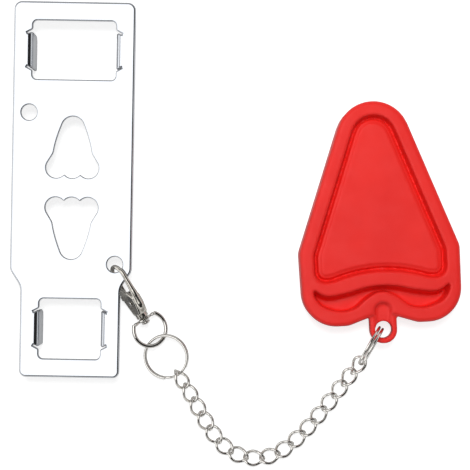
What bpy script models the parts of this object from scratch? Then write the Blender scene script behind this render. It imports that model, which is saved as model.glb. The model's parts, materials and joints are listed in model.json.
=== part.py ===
"""Portable door lock: a clawed steel plate, a wedge handle, and the chain and clasp that keep them together.

The lock lies as it is stored. X runs to the right, Y away from the reader and Z up. The plate stands on its
four claws, and the clasp, rings, chain and handle lie beside it on the same surface, at Z = 0.
Every length is in metres and every angle in degrees.
"""

import bpy
import bmesh
import math
from mathutils import Matrix, Vector

# Clearances
touch_gap = 0.0003
cut_overrun = 0.001
join_overlap = 0.0002
same_place = 0.00001

# Plate: a polished steel sheet with four claws bent down at the sides of its two windows
plate_length = 0.1600
plate_width = 0.0518
plate_foot_width = 0.0426
sheet = 0.0015
claw_depth = 0.0090
plate_centre = (-0.06954, 0.01961)
plate_lean = -1.0
head_corner_radius = 0.0034
foot_corner_radius = 0.0028
foot_length = 0.0385
waist_length = 0.0069
waist_outer_radius = 0.0045
waist_inner_radius = 0.0070
pattern_rise = 0.0005
window_end = 0.0207
wide_window = (0.0353, 0.0249)
narrow_window = (0.0260, 0.0254)
window_corner_radius = 0.0019
claw_width = 0.0154
relief_width = 0.00125
relief_radius = 0.0012
bend_inner_radius = 0.0007
claw_tip_radius = 0.0030
claw_heel_radius = 0.0006
round_hole = 0.0067
round_hole_spread = 0.0375
round_hole_end = 0.0479
bell_length = 0.0262
bell_gap = 0.00825
bell_rise = 0.00075
bell_lobe_radius = 0.00435
bell_lobe_spacing = 0.00685
bell_flare = 32.0
bell_kink = (0.00815, 0.0105)
bell_kink_round = 0.0009
bell_side = (0.00705, 0.01695)
bell_tip_radius = 0.00485
bell_tip_flare = 22.0

# Clasp: its own X runs from the collar to the hook, Y from the gate to the spine, Z through its thickness
clasp_heading = 119.0
clasp_pitch = 8.7
clasp_roll = 32.0
hook_in_hole = 0.0008
hook_aside = 0.0009
hook_rest_gap = 0.0005
edge_station = 0.0194
hook_reach = 0.0248
hook_bend_radius = 0.0046
hook_wire = 0.0027
hook_bend_wire = 0.0019
hook_tip_wire = 0.0018
hook_tip_turn = 165.0
hook_tip_round = 0.0005
spine_offset = 0.0045
spine_root = 0.0066
collar_diameter = 0.0052
collar_length = 0.0026
body_root = 0.0016
body_root_half_width = 0.0027
body_heel = 0.0090
body_low_side = 0.0045
body_mouth = (0.0162, 0.0167)
body_mouth_depth = 0.0013
mouth_corner_radius = 0.0006
body_front = 0.0102
body_thickness = 0.0044
far_cheek_end = 0.0120
body_edge_radius = 0.0005
body_corner_radius = 0.0010
body_bend_radius = 0.0020
slot_width = 0.0022
slot_back = 0.0052
slot_floor = 0.0021
gate_thickness = 0.0016
gate_bar = 0.0017
gate_pivot = (0.0078, 0.0004)
gate_line = -0.0041
gate_length = 0.0204
gate_boss_radius = 0.0014
gate_boss_round = 0.0012
gate_corner_radius = 0.0005
gate_edge_radius = 0.0002
spring_seat_start = 0.0096
spring_seat_end = 0.0121
thumb_reach = 0.0066
thumb_start = 0.0092
thumb_width = 0.0024
pad_thickness = 0.0011
pad_width = 0.0032
pin_diameter = 0.0014
pin_head_diameter = 0.0022
pin_head_height = 0.0003
pin_clearance = 0.0002
gate_spring_diameter = 0.0017
gate_spring_wire = 0.0003
gate_spring_turns = 3
gate_spring_station = 0.0107
gate_back = -0.0014

# Swivel ring and the rivet that holds it to the collar
rivet_diameter = 0.0020
rivet_head_diameter = 0.0036
rivet_head_height = 0.0010
rivet_depth = 0.0016
hub_length = 0.0108
hub_thickness = 0.0019
hub_width = 0.0034
hub_edge_radius = 0.0005
hub_corner_radius = 0.00076
swivel_radius = 0.00735
swivel_wire = 0.0017
swivel_chord = 0.0050
swivel_root_share = 0.96
swivel_turn = 24.1

# Split rings: two turns of wire with one crossover, one between clasp and chain and one at the handle
split_wire = 0.0011
split_pitch = 0.00152
split_crossover = 52.0
split_end_gap = 7.0
key_ring_radius = 0.0093
key_ring_side = -0.0002
key_ring_tilt = 10.7
key_ring_lift = 0.0002
ring_play = 0.0014
strand_room = 0.0006
handle_ring_radius = 0.0088
handle_ring_heading = 60.0
handle_ring_lift = 0.0001
handle_ring_tilt = 11.0
handle_ring_side = 0.0006
handle_ring_room = 0.0009

# Chain: twisted oval links, each hooked through the one before it
link_length = 0.0098
link_width = 0.0073
link_wire = 0.0012
link_twist = 92.0
link_play = 0.00034
link_slack = 0.00033
slack_links = 3
link_headings = (-56, -60, -62, -60, -56, -41, -21, -2, 17, 36, 43, 48, 51, 53, 54, 54, 54)
link_slopes = (-3.9, -3.3, -2.8, -1.9, -0.9, -0.1, 0, 0, 0, 0, 0, 0.3, 2.2, 5.0, 9.0, 13.0, 16.0)
link_rolls = (-44, -32, -20, -10, 0, 0, 0, 0, 0, 0, 0, 0, 0, -10, -20, -32, -44)

# Handle: its own X runs across, Y from the eye of the tab to the tip, Z up from its flat back
handle_lean = 3.1
handle_thickness = 0.0120
handle_height = 0.0974
handle_half_width = 0.0342
handle_tip_radius = 0.0157
handle_kink = 0.0343
handle_kink_radius = 0.0080
lobe_corner_inset = 0.0005
lobe_foot = 0.0024
lobe_corner_radius = 0.0145
lobe_bottom_inset = 0.0194
lobe_bottom_radius = 0.0080
valley_height = 0.0074
valley_radius = 0.0050
handle_edge_radius = 0.0018
handle_back_chamfer = 0.0006
rim_width = 0.0058
recess_foot = 0.0204
recess_foot_radius = 0.0052
recess_arch = 0.0036
recess_arch_inset = 0.0142
recess_arch_lift_share = 0.2
recess_depth = 0.0036
recess_wall = 0.0016
rim_round = 0.0005
groove_width = 0.0014
panel_step = 0.0008
panel_rise = 0.0016
pocket_top = 0.0189
pocket_inset = 0.0054
pocket_height = 0.0102
pocket_depth = 0.0048
pocket_wall = 0.0007
tab_radius = 0.0058
tab_thickness = 0.0054
tab_drop = 0.0010
tab_root = 0.0095
tab_edge_radius = 0.0009
round_end_share = 0.98
eye_diameter = 0.0073
eye_ring_inset = 0.0006
eye_ring_aside = 0.0011
channel_half_width = 0.0030
channel_top = 0.0119
channel_depth = 0.0009
channel_wall = 0.0004

# Facets
arc_step = 18.0
fine_arc_step = 15.0
link_points = 22
handle_arc_step = 12.0
gate_arc_step = 24.0
hub_arc_step = 30.0
ring_step = 11.0
turn_apart = 120.0
sharp_angle = 35.0
link_sides = 8
ring_sides = 8
swivel_sides = 10
hook_sides = 12
spring_sides = 6
spring_turn_points = 10
pin_sides = 20
collar_sides = 24
eye_sides = 32
claw_bend_steps = 5
claw_tip_steps = 4
edge_steps = 3
recess_arch_steps = 4
bell_kink_steps = 2
bell_side_steps = 4
pocket_steps = 3
facing_share = 0.9
least_spread_share = 0.5
mm_in_metre = 1000


def clear_scene():
    for obj in list(bpy.data.objects):
        bpy.data.objects.remove(obj)


def make_material(name, colour, roughness, metallic):
    material = bpy.data.materials.new(name)
    material.use_nodes = True
    shader = material.node_tree.nodes["Principled BSDF"]
    shader.inputs["Base Color"].default_value = (*colour, 1.0)
    shader.inputs["Roughness"].default_value = roughness
    shader.inputs["Metallic"].default_value = metallic
    return material


def turned(degrees, axis):
    return Matrix.Rotation(math.radians(degrees), 4, axis)


def arc(centre, radius, start, end, step=arc_step):
    """Points of a circular arc in the plane, from the start angle to the end angle."""
    count = max(1, math.ceil(abs(end - start) / step))
    angles = [math.radians(start + (end - start) * i / count) for i in range(count + 1)]
    return [(centre[0] + radius * math.cos(a), centre[1] + radius * math.sin(a)) for a in angles]


def rounded(corners, step=arc_step):
    """A closed outline through corners (x, y, radius), each rounded by an arc of its radius."""
    outline = []
    for i, (x, y, radius) in enumerate(corners):
        here = Vector((x, y))
        back = (Vector(corners[i - 1][:2]) - here).normalized()
        ahead = (Vector(corners[(i + 1) % len(corners)][:2]) - here).normalized()
        if radius <= 0.0:
            outline.append((x, y))
            continue
        half = back.angle(ahead) / 2
        centre = here + (back + ahead).normalized() * (radius / math.sin(half))
        first = here + back * (radius / math.tan(half)) - centre
        last = here + ahead * (radius / math.tan(half)) - centre
        start = math.degrees(math.atan2(first.y, first.x))
        turn = math.degrees(math.atan2(last.y, last.x)) - start
        turn = (turn + 180.0) % 360.0 - 180.0
        outline += arc(centre, radius, start, start + turn, step)
    return outline


def bent(start, corner, end, steps):
    """A soft bend from start to end, drawn towards the corner."""
    points = []
    for i in range(steps + 1):
        t = i / steps
        points.append(tuple(
            (1 - t) ** 2 * a + 2 * t * (1 - t) * b + t ** 2 * c for a, b, c in zip(start, corner, end)
        ))
    return points


def smooth_loop(points, steps):
    """A closed smooth outline through the given points."""
    outline = []
    count = len(points)
    for i in range(count):
        p0, p1, p2, p3 = (Vector(points[(i + k - 1) % count]) for k in range(4))
        for k in range(steps):
            t = k / steps
            point = 0.5 * (2 * p1 + (p2 - p0) * t + (2 * p0 - 5 * p1 + 4 * p2 - p3) * t ** 2
                           + (3 * p1 - 3 * p2 + p3 - p0) * t ** 3)
            outline.append((point.x, point.y))
    return outline


def mirrored(half):
    """A closed outline from its right half, which runs from low to high on the side of positive X."""
    return half + [(-x, y) for x, y in reversed(half) if abs(x) > touch_gap]


def inset(outline, distance):
    """The outline moved inwards by the distance; it runs anticlockwise."""
    moved = []
    count = len(outline)
    for i in range(count):
        before, here, after = (Vector(outline[(i + k) % count]) for k in (-1, 0, 1))
        first = (here - before).normalized()
        second = (after - here).normalized()
        normal = Vector((-first.y - second.y, first.x + second.x)).normalized()
        spread = max(least_spread_share, normal.dot(Vector((-first.y, first.x))))
        point = here + normal * (distance / spread)
        moved.append((point.x, point.y))
    return moved


def layered(outline, layers):
    """A closed solid from one outline: layers are (inset, height) from its lowest to its last."""
    bm = bmesh.new()
    rings = []
    for distance, height in layers:
        rings.append([bm.verts.new((x, y, height)) for x, y in inset(outline, distance)])
    bm.faces.new(rings[0])
    bm.faces.new(rings[-1])
    for low, high in zip(rings, rings[1:]):
        for i in range(len(low)):
            k = (i + 1) % len(low)
            bm.faces.new((low[i], low[k], high[k], high[i]))
    bmesh.ops.recalc_face_normals(bm, faces=bm.faces[:])
    return bm


def edge_round(radius, height, steps=edge_steps):
    """Layers that round an upper edge up to the height."""
    layers = []
    for i in range(steps + 1):
        angle = math.radians(90.0 * i / steps)
        layers.append((radius * (1 - math.cos(angle)), height - radius * (1 - math.sin(angle))))
    return layers


def tube(points, widths, sides, closed=False, up=None):
    """A round tube along the points, with one width for each point."""
    points = [Vector(p) for p in points]
    count = len(points)
    tangents = []
    for i in range(count):
        before = points[i - 1] if closed or i > 0 else points[i]
        after = points[(i + 1) % count] if closed or i < count - 1 else points[i]
        tangents.append((after - before).normalized())
    normal = (up or tangents[0].orthogonal()).normalized()
    normals = []
    for i in range(count):
        if up is None and i > 0:
            normal = tangents[i - 1].rotation_difference(tangents[i]) @ normal
        elif up is not None:
            normal = up.copy()
        normal = (normal - tangents[i] * normal.dot(tangents[i])).normalized()
        normals.append(normal)
    twist = 0.0
    if closed and up is None:
        carried = tangents[-1].rotation_difference(tangents[0]) @ normals[-1]
        twist = math.atan2(carried.cross(normals[0]).dot(tangents[0]), carried.dot(normals[0]))
    bm = bmesh.new()
    rings = []
    for i in range(count):
        normal = Matrix.Rotation(twist * i / count, 3, tangents[i]) @ normals[i]
        other = tangents[i].cross(normal)
        ring = []
        for k in range(sides):
            angle = 2 * math.pi * (k + 0.5) / sides
            offset = normal * math.cos(angle) + other * math.sin(angle)
            ring.append(bm.verts.new(points[i] + offset * (widths[i] / 2)))
        rings.append(ring)
    pairs = list(zip(rings, rings[1:]))
    if closed:
        pairs.append((rings[-1], rings[0]))
    else:
        bm.faces.new(rings[0])
        bm.faces.new(rings[-1])
    for first, second in pairs:
        for k in range(sides):
            n = (k + 1) % sides
            bm.faces.new((first[k], first[n], second[n], second[k]))
    bmesh.ops.recalc_face_normals(bm, faces=bm.faces[:])
    return bm


def least_self_gap(points, wire, apart):
    """The least gap of a coil to itself, between points that lie further along it than apart."""
    least = None
    for i in range(len(points)):
        for k in range(i + apart, len(points)):
            gap = (points[i] - points[k]).length - wire
            least = gap if least is None else min(least, gap)
    return least


def box(low, high):
    bm = bmesh.new()
    bmesh.ops.create_cube(bm, size=1.0)
    size = [b - a for a, b in zip(low, high)]
    middle = [(a + b) / 2 for a, b in zip(low, high)]
    bmesh.ops.scale(bm, vec=size, verts=bm.verts[:])
    bmesh.ops.translate(bm, vec=middle, verts=bm.verts[:])
    return bm


def cylinder(diameter, low, high, axis, centre=(0.0, 0.0, 0.0), segments=pin_sides):
    """A cylinder along X, Y or Z, between two places on that axis."""
    bm = bmesh.new()
    bmesh.ops.create_cone(bm, cap_ends=True, segments=segments, radius1=diameter / 2, radius2=diameter / 2,
                          depth=high - low)
    bmesh.ops.translate(bm, vec=(0.0, 0.0, (low + high) / 2), verts=bm.verts[:])
    if axis == "X":
        bmesh.ops.rotate(bm, matrix=turned(90.0, "Y").to_3x3(), verts=bm.verts[:])
    elif axis == "Y":
        bmesh.ops.rotate(bm, matrix=turned(-90.0, "X").to_3x3(), verts=bm.verts[:])
    bmesh.ops.translate(bm, vec=centre, verts=bm.verts[:])
    bmesh.ops.recalc_face_normals(bm, faces=bm.faces[:])
    return bm


def add_object(name, bm, placing, material=None, parent=None):
    """One named piece. Its origin is the placing's place, on the axis that it moves about."""
    mesh = bpy.data.meshes.new(name)
    bm.to_mesh(mesh)
    bm.free()
    mesh.shade_smooth()
    mesh.set_sharp_from_angle(angle=math.radians(sharp_angle))
    obj = bpy.data.objects.new(name, mesh)
    bpy.context.scene.collection.objects.link(obj)
    obj.matrix_world = placing
    if material:
        mesh.materials.append(material)
    if parent:
        obj.parent = parent
        obj.matrix_parent_inverse = parent.matrix_world.inverted()
        obj.matrix_world = placing
        bpy.context.view_layer.update()
    return obj


def combine(obj, bm, operation, name):
    """Adds the shape to the piece, or cuts it away. Both are drawn in the piece's own frame."""
    helper = add_object(name, bm, obj.matrix_world.copy())
    helper.hide_render = True
    helper.display_type = "WIRE"
    modifier = obj.modifiers.new(name, "BOOLEAN")
    modifier.operation = operation
    modifier.solver = "EXACT"
    modifier.object = helper


def window_outline(size, centre):
    """A window with a claw root at its left and right, between two relief cuts."""
    width, height = size
    side = width / 2
    root = side + bend_inner_radius + sheet
    claw = claw_width / 2
    relief = claw + relief_width
    quarter = [
        (side, relief, 0.0),
        (side, height / 2, window_corner_radius),
    ]
    right_up = [(root, claw, 0.0), (root, relief, relief_radius)] + quarter
    upper = right_up + [(-x, y, r) for x, y, r in reversed(right_up)]
    lower = [(-x, -y, r) for x, y, r in upper]
    return [(x, y + centre) for x, y in rounded(upper + lower)]


def bell_outline(base, direction):
    """A bell-shaped hole: three lobes at its wide end and a round tip, pointing up or down the plate."""
    lobe = bell_lobe_radius
    cusp = math.degrees(math.acos(bell_lobe_spacing / 2 / lobe))
    half = arc((0.0, lobe), lobe, 270.0, 360.0 - cusp)
    half += arc((bell_lobe_spacing, lobe), lobe, 180.0 + cusp, 360.0 + bell_flare)[1:]
    kink = Vector(bell_kink)
    near = kink + (Vector(half[-1]) - kink).normalized() * bell_kink_round
    far = kink + (Vector(bell_side) - kink).normalized() * bell_kink_round
    tip = arc((0.0, bell_length - bell_tip_radius), bell_tip_radius, bell_tip_flare, 90.0)
    half += bent(near, kink, far, bell_kink_steps)
    half += bent(far, bell_side, tip[0], bell_side_steps)[1:] + tip[1:]
    return [(x, base + direction * y) for x, y in mirrored(half)]


def round_hole_middle(side):
    """The middle of a round hole: the clasp's is at the lower right, and the spare one at the upper left."""
    return side * round_hole_spread / 2, pattern_rise - side * (plate_length / 2 - round_hole_end)


def plate_outline():
    head = plate_width / 2
    foot = plate_foot_width / 2
    top = plate_length / 2
    right = [
        (foot, -top, foot_corner_radius),
        (foot, foot_length - top, waist_inner_radius),
        (head, foot_length + waist_length - top, waist_outer_radius),
        (head, top, head_corner_radius),
    ]
    return rounded(right + [(-x, y, r) for x, y, r in reversed(right)])


def bend_claw(bm, root_x, middle):
    """Turns the sheet down at a window's side and carries it on into a claw with one rounded corner."""
    side = math.copysign(1.0, root_x)
    claw = claw_width / 2
    for face in list(bm.faces):
        spot = face.calc_center_median()
        at_root = abs(spot.x - root_x) < same_place and abs(spot.y - middle) < cut_overrun
        if at_root and abs(face.normal.x) > facing_share:
            break
    hinge = Vector((root_x, 0.0, claw_depth - bend_inner_radius))
    for _ in range(claw_bend_steps):
        grown = bmesh.ops.extrude_face_region(bm, geom=[face])
        bmesh.ops.delete(bm, geom=[face], context="FACES_ONLY")
        face = [g for g in grown["geom"] if isinstance(g, bmesh.types.BMFace)][0]
        turn = turned(-side * 90.0 / claw_bend_steps, "Y").to_3x3()
        bmesh.ops.rotate(bm, cent=hinge, matrix=turn, verts=face.verts[:])
    tip = [(middle - claw, claw_heel_radius), (middle + claw, claw_tip_radius)]
    grown = bmesh.ops.extrude_face_region(bm, geom=[face])
    bmesh.ops.delete(bm, geom=[face], context="FACES_ONLY")
    face = [g for g in grown["geom"] if isinstance(g, bmesh.types.BMFace)][0]
    bmesh.ops.translate(bm, vec=(0.0, 0.0, bend_inner_radius - claw_depth), verts=face.verts[:])
    for place, radius in tip:
        corner = [e for e in face.edges if all(abs(v.co.y - place) < same_place for v in e.verts)]
        bmesh.ops.bevel(bm, geom=corner, offset=radius, offset_type="OFFSET", segments=claw_tip_steps,
                        profile=0.5, affect="EDGES", clamp_overlap=True, material=-1)
        face = min((f for f in bm.faces if abs(f.calc_center_median().x - face_side(root_x)) < sheet),
                   key=lambda f: f.calc_center_median().z) if not face.is_valid else face


def face_side(root_x):
    """Where the middle of a claw's sheet stands, next to its root."""
    return root_x - math.copysign(bend_inner_radius + sheet / 2, root_x)


def build_plate(material):
    """The sheet with its windows and holes, and the four claws bent from it."""
    window_middle = plate_length / 2 - window_end
    windows = [(wide_window, window_middle), (narrow_window, -window_middle)]
    loops = [plate_outline()]
    for size, centre in windows:
        loops.append(window_outline(size, centre))
    for side in (-1, 1):
        loops.append(arc(round_hole_middle(side), round_hole / 2, 0.0, 360.0, fine_arc_step)[:-1])
    loops.append(bell_outline(bell_rise + bell_gap / 2, 1))
    loops.append(bell_outline(bell_rise - bell_gap / 2, -1))
    bm = bmesh.new()
    edges = []
    for loop in loops:
        verts = [bm.verts.new((x, y, claw_depth)) for x, y in loop]
        edges += [bm.edges.new((verts[i - 1], verts[i])) for i in range(len(verts))]
    bmesh.ops.triangle_fill(bm, use_beauty=True, edges=edges)
    grown = bmesh.ops.extrude_face_region(bm, geom=bm.faces[:])
    raised = [g for g in grown["geom"] if isinstance(g, bmesh.types.BMVert)]
    bmesh.ops.translate(bm, vec=(0.0, 0.0, sheet), verts=raised)
    bmesh.ops.recalc_face_normals(bm, faces=bm.faces[:])
    for size, centre in windows:
        root = size[0] / 2 + bend_inner_radius + sheet
        bend_claw(bm, root, centre)
        bend_claw(bm, -root, centre)
    return add_object("door_plate", bm, plate_placing(), material)


def plate_placing():
    return Matrix.Translation((*plate_centre, 0.0)) @ turned(plate_lean, "Z")


def clasp_axes():
    """The clasp's own directions: along it to the hook, level to its left, and up."""
    heading = math.radians(clasp_heading)
    pitch = math.radians(clasp_pitch)
    level = Vector((math.cos(heading), math.sin(heading), 0.0))
    along = level * math.cos(pitch) + Vector((0.0, 0.0, math.sin(pitch)))
    left = Vector((-math.sin(heading), math.cos(heading), 0.0))
    return along, left, along.cross(left)


def frame_of(origin, first, second):
    third = first.cross(second)
    rows = [(first[i], second[i], third[i], origin[i]) for i in range(3)]
    return Matrix(rows + [(0.0, 0.0, 0.0, 1.0)])


def clasp_origin():
    """The middle of the collar's end, found from the plate's clasp hole, which the hook passes through."""
    along, left, up = clasp_axes()
    pitch = math.radians(clasp_pitch)
    roll = math.radians(clasp_roll)
    hole = plate_placing() @ Vector((*round_hole_middle(1), 0.0))
    level = Vector((along.x, along.y, 0.0)).normalized()
    reach = (hook_reach + hook_in_hole) * math.cos(pitch)
    flat = hole - level * reach + left * hook_aside
    spine_inside = spine_offset - hook_wire / 2 - hook_rest_gap
    height = (claw_depth + sheet - edge_station * math.sin(pitch)
              - spine_inside * math.cos(roll) * math.cos(pitch))
    return Vector((flat.x, flat.y, height))


def clasp_placing():
    along, left, up = clasp_axes()
    roll = math.radians(clasp_roll)
    return frame_of(clasp_origin(), along, up * math.cos(roll) - left * math.sin(roll))


def build_clasp_hook(material, parent):
    """The cast body with its slot, collar, spine and hook."""
    high = spine_offset + hook_wire / 2
    outline = rounded([
        (body_root, -body_root_half_width, body_corner_radius),
        (body_heel, -body_low_side, body_bend_radius),
        (body_mouth[0], -body_low_side, mouth_corner_radius),
        (body_mouth[1], body_mouth_depth - body_low_side, mouth_corner_radius),
        (body_front, high - touch_gap, body_corner_radius),
        (spine_root, high - touch_gap, body_bend_radius),
        (body_root, body_root_half_width, body_corner_radius),
    ])
    half = body_thickness / 2
    soft = body_edge_radius
    body = layered(outline, [(soft, -half), (0.0, soft - half), (0.0, half - soft), (soft, half)])
    hook = add_object("clasp_hook", body, clasp_placing(), material, parent)
    centre = (hook_reach - hook_bend_radius, spine_offset - hook_bend_radius)
    bend = arc(centre, hook_bend_radius, 90.0, 90.0 - hook_tip_turn, fine_arc_step)
    path = [(spine_root, spine_offset), (body_front, spine_offset)] + bend
    widths = [hook_wire, hook_wire]
    for i in range(len(bend)):
        widths.append(hook_bend_wire + (hook_tip_wire - hook_bend_wire) * i / (len(bend) - 1))
    last = Vector(path[-1]) + (Vector(path[-1]) - Vector(path[-2])).normalized() * hook_tip_round
    path.append(tuple(last))
    widths.append(hook_tip_wire - hook_tip_round)
    slot = box((slot_back, -body_low_side - cut_overrun * 2, -slot_width / 2),
               (body_mouth[1] + cut_overrun, slot_floor, slot_width / 2))
    combine(hook, slot, "DIFFERENCE", "gate_slot")
    far_front = box((far_cheek_end, -body_low_side - cut_overrun, 0.0),
                    (body_mouth[1] + cut_overrun, high + cut_overrun, half + cut_overrun))
    combine(hook, far_front, "DIFFERENCE", "far_cheek_front")
    wide = pin_diameter + 2 * pin_clearance
    bore = cylinder(wide, -body_thickness, body_thickness, "Z", (*gate_pivot, 0.0))
    combine(hook, bore, "DIFFERENCE", "pin_bore")
    bar = tube([(x, y, 0.0) for x, y in path], widths, hook_sides, up=Vector((0.0, 0.0, 1.0)))
    combine(hook, bar, "UNION", "hook_bar")
    collar = cylinder(collar_diameter, 0.0, collar_length, "X", segments=collar_sides)
    combine(hook, collar, "UNION", "collar")
    socket = cylinder(rivet_diameter + 2 * touch_gap, -cut_overrun, rivet_depth + touch_gap, "X")
    combine(hook, socket, "DIFFERENCE", "rivet_socket")
    return hook


def build_gate(material, parent):
    """The lever: an eye on the pin, a thumb nub, and a bar that ends at the hook's tip."""
    x0, y0 = gate_pivot
    low = gate_line - gate_bar / 2
    high = gate_line + gate_bar / 2
    nub_end = thumb_start + thumb_width
    outline = rounded([
        (-gate_boss_radius, -gate_boss_radius, gate_boss_round),
        (thumb_start - x0 - gate_bar, low - y0, gate_corner_radius),
        (thumb_start - x0, -thumb_reach - y0, gate_corner_radius),
        (nub_end - x0, -thumb_reach - y0, gate_corner_radius),
        (nub_end - x0, low - y0, gate_corner_radius),
        (gate_length - x0, low - y0, gate_corner_radius),
        (gate_length - x0, high - y0, gate_corner_radius),
        (spring_seat_end - x0, high - y0, gate_corner_radius),
        (spring_seat_end - x0, gate_back - y0, gate_corner_radius),
        (spring_seat_start - x0, gate_back - y0, gate_corner_radius),
        (gate_boss_radius, gate_boss_radius, gate_boss_round),
        (-gate_boss_radius, gate_boss_radius, gate_boss_round),
    ], gate_arc_step)
    half = gate_thickness / 2
    soft = gate_edge_radius
    lever = layered(outline, [(soft, -half), (0.0, soft - half), (0.0, half - soft), (soft, half)])
    placing = clasp_placing() @ Matrix.Translation((x0, y0, 0.0))
    gate = add_object("clasp_gate", lever, placing, material, parent)
    bore = cylinder(pin_diameter + 2 * pin_clearance, -body_thickness, body_thickness, "Z")
    combine(gate, bore, "DIFFERENCE", "gate_bore")
    pad = rounded([
        (thumb_start - x0, -thumb_reach - y0, gate_corner_radius),
        (nub_end - x0, -thumb_reach - y0, gate_corner_radius),
        (nub_end - x0, pad_thickness - thumb_reach - y0, gate_corner_radius),
        (thumb_start - x0, pad_thickness - thumb_reach - y0, gate_corner_radius),
    ], gate_arc_step)
    half = pad_width / 2
    pad = layered(pad, [(soft, -half), (0.0, soft - half), (0.0, half - soft), (soft, half)])
    combine(gate, pad, "UNION", "thumb_pad")
    return gate


def build_gate_pin(material, parent):
    """The rivet that the gate turns on, with a low head on each cheek of the body."""
    half = body_thickness / 2
    pin = cylinder(pin_diameter, -half - touch_gap - join_overlap, half + touch_gap + join_overlap, "Z")
    placing = clasp_placing() @ Matrix.Translation((*gate_pivot, 0.0))
    obj = add_object("gate_pin", pin, placing, material, parent)
    seat = half + touch_gap
    for name, low in (("pin_head_near", seat), ("pin_head_far", -seat - pin_head_height)):
        head = cylinder(pin_head_diameter, low, low + pin_head_height, "Z")
        combine(obj, head, "UNION", name)
    return obj


def build_gate_spring(material, parent):
    """The small coil that pushes the gate shut, between the slot's floor and the lever."""
    low = gate_back + touch_gap + gate_spring_wire / 2
    high = slot_floor - touch_gap - gate_spring_wire / 2
    radius = (gate_spring_diameter - gate_spring_wire) / 2
    steps = gate_spring_turns * spring_turn_points
    points = []
    for i in range(steps + 1):
        angle = 2 * math.pi * gate_spring_turns * i / steps
        rise = low + (high - low) * i / steps
        points.append(Vector((radius * math.cos(angle), rise, radius * math.sin(angle))))
    spring_apart = math.ceil(spring_turn_points * turn_apart * 2 / 360.0)
    gap = least_self_gap(points, gate_spring_wire, spring_apart)
    print("gate spring, least gap to itself, mm:", round(mm_in_metre * gap, 2))
    placing = clasp_placing() @ Matrix.Translation((gate_spring_station, 0.0, 0.0))
    coil = tube(points, [gate_spring_wire] * len(points), spring_sides)
    return add_object("gate_spring", coil, placing, material, parent)


def swivel_placing():
    """The swivel ring's frame: X along the clasp, Y across the ring."""
    along, left, up = clasp_axes()
    turn = math.radians(swivel_turn)
    return frame_of(clasp_origin(), along, left * math.cos(turn) + up * math.sin(turn))


def hub_middle():
    return -touch_gap - hub_thickness / 2


def build_rivet(material, parent):
    """The headed rivet through the swivel ring's hub, set in the clasp's collar."""
    shank = cylinder(rivet_diameter, -hub_thickness - 2 * touch_gap - join_overlap, rivet_depth, "X")
    rivet = add_object("swivel_rivet", shank, clasp_placing(), material, parent)
    low = -hub_thickness - 2 * touch_gap
    head = cylinder(rivet_head_diameter, low - rivet_head_height, low, "X")
    combine(rivet, head, "UNION", "rivet_head")
    return rivet


def build_swivel_ring(material, parent):
    """A ring of round wire that ends in a flat hub, which turns on the rivet."""
    centre = hub_middle() - swivel_chord
    open_half = math.degrees(math.acos(swivel_chord / swivel_radius)) * swivel_root_share
    circle = arc((centre, 0.0), swivel_radius, open_half, 360.0 - open_half, ring_step)
    path = [(x, y, 0.0) for x, y in circle]
    wire = tube(path, [swivel_wire] * len(path), swivel_sides, up=Vector((0.0, 0.0, 1.0)))
    ring = add_object("swivel_ring", wire, swivel_placing(), material, parent)
    soft = hub_edge_radius
    half = hub_width / 2
    outline = rounded([
        (hub_middle() - hub_thickness / 2, -hub_length / 2, hub_corner_radius),
        (hub_middle() + hub_thickness / 2, -hub_length / 2, hub_corner_radius),
        (hub_middle() + hub_thickness / 2, hub_length / 2, hub_corner_radius),
        (hub_middle() - hub_thickness / 2, hub_length / 2, hub_corner_radius),
    ], hub_arc_step)
    hub = layered(outline, [(soft, -half), (0.0, soft - half), (0.0, half - soft), (soft, half)])
    combine(ring, hub, "UNION", "hub")
    bore = cylinder(rivet_diameter + 2 * touch_gap, -hub_thickness - cut_overrun, cut_overrun, "X")
    combine(ring, bore, "DIFFERENCE", "hub_bore")
    return ring


def split_ring_points(radius):
    """Two turns of wire about Z, side by side, joined by one crossover."""
    start = split_crossover / 2 + split_end_gap
    end = 720.0 - start
    count = math.ceil((end - start) / ring_step)
    points = []
    for i in range(count + 1):
        angle = start + (end - start) * i / count
        part = min(1.0, max(0.0, (angle - 360.0) / split_crossover + 0.5))
        rise = split_pitch * (part * part * (3 - 2 * part) - 0.5)
        turn = math.radians(angle)
        points.append(Vector((radius * math.cos(turn), radius * math.sin(turn), rise)))
    return points


def build_split_ring(name, radius, placing, material, parent):
    points = split_ring_points(radius)
    apart = math.ceil(turn_apart / ring_step)
    print(name, "least gap to itself, mm:", round(mm_in_metre * least_self_gap(points, split_wire, apart), 2))
    wire = tube(points, [split_wire] * len(points), ring_sides, up=Vector((0.0, 0.0, 1.0)))
    return add_object(name, wire, placing, material, parent)


def key_ring_placing():
    """Where the split ring lies: linked with the swivel ring's far end, one side a little down."""
    along, left, up = clasp_axes()
    level = Vector((along.x, along.y, 0.0)).normalized()
    inside = swivel_wire / 2 + split_wire / 2 + ring_play
    apart = swivel_radius + key_ring_radius - inside
    swivel_centre = clasp_origin() + along * (hub_middle() - swivel_chord)
    centre = swivel_centre - level * apart + left * key_ring_side
    tilt = math.radians(key_ring_tilt)
    thick = (split_pitch + split_wire) / 2
    centre.z = key_ring_lift + thick + (key_ring_radius + split_wire / 2) * math.sin(tilt)
    across = left * math.cos(tilt) - Vector((0.0, 0.0, math.sin(tilt)))
    return frame_of(centre, -level, -across)


def link_pitch():
    """How far each link carries the chain on, from one contact to the next."""
    return link_length - 2 * link_wire - link_play


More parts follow.
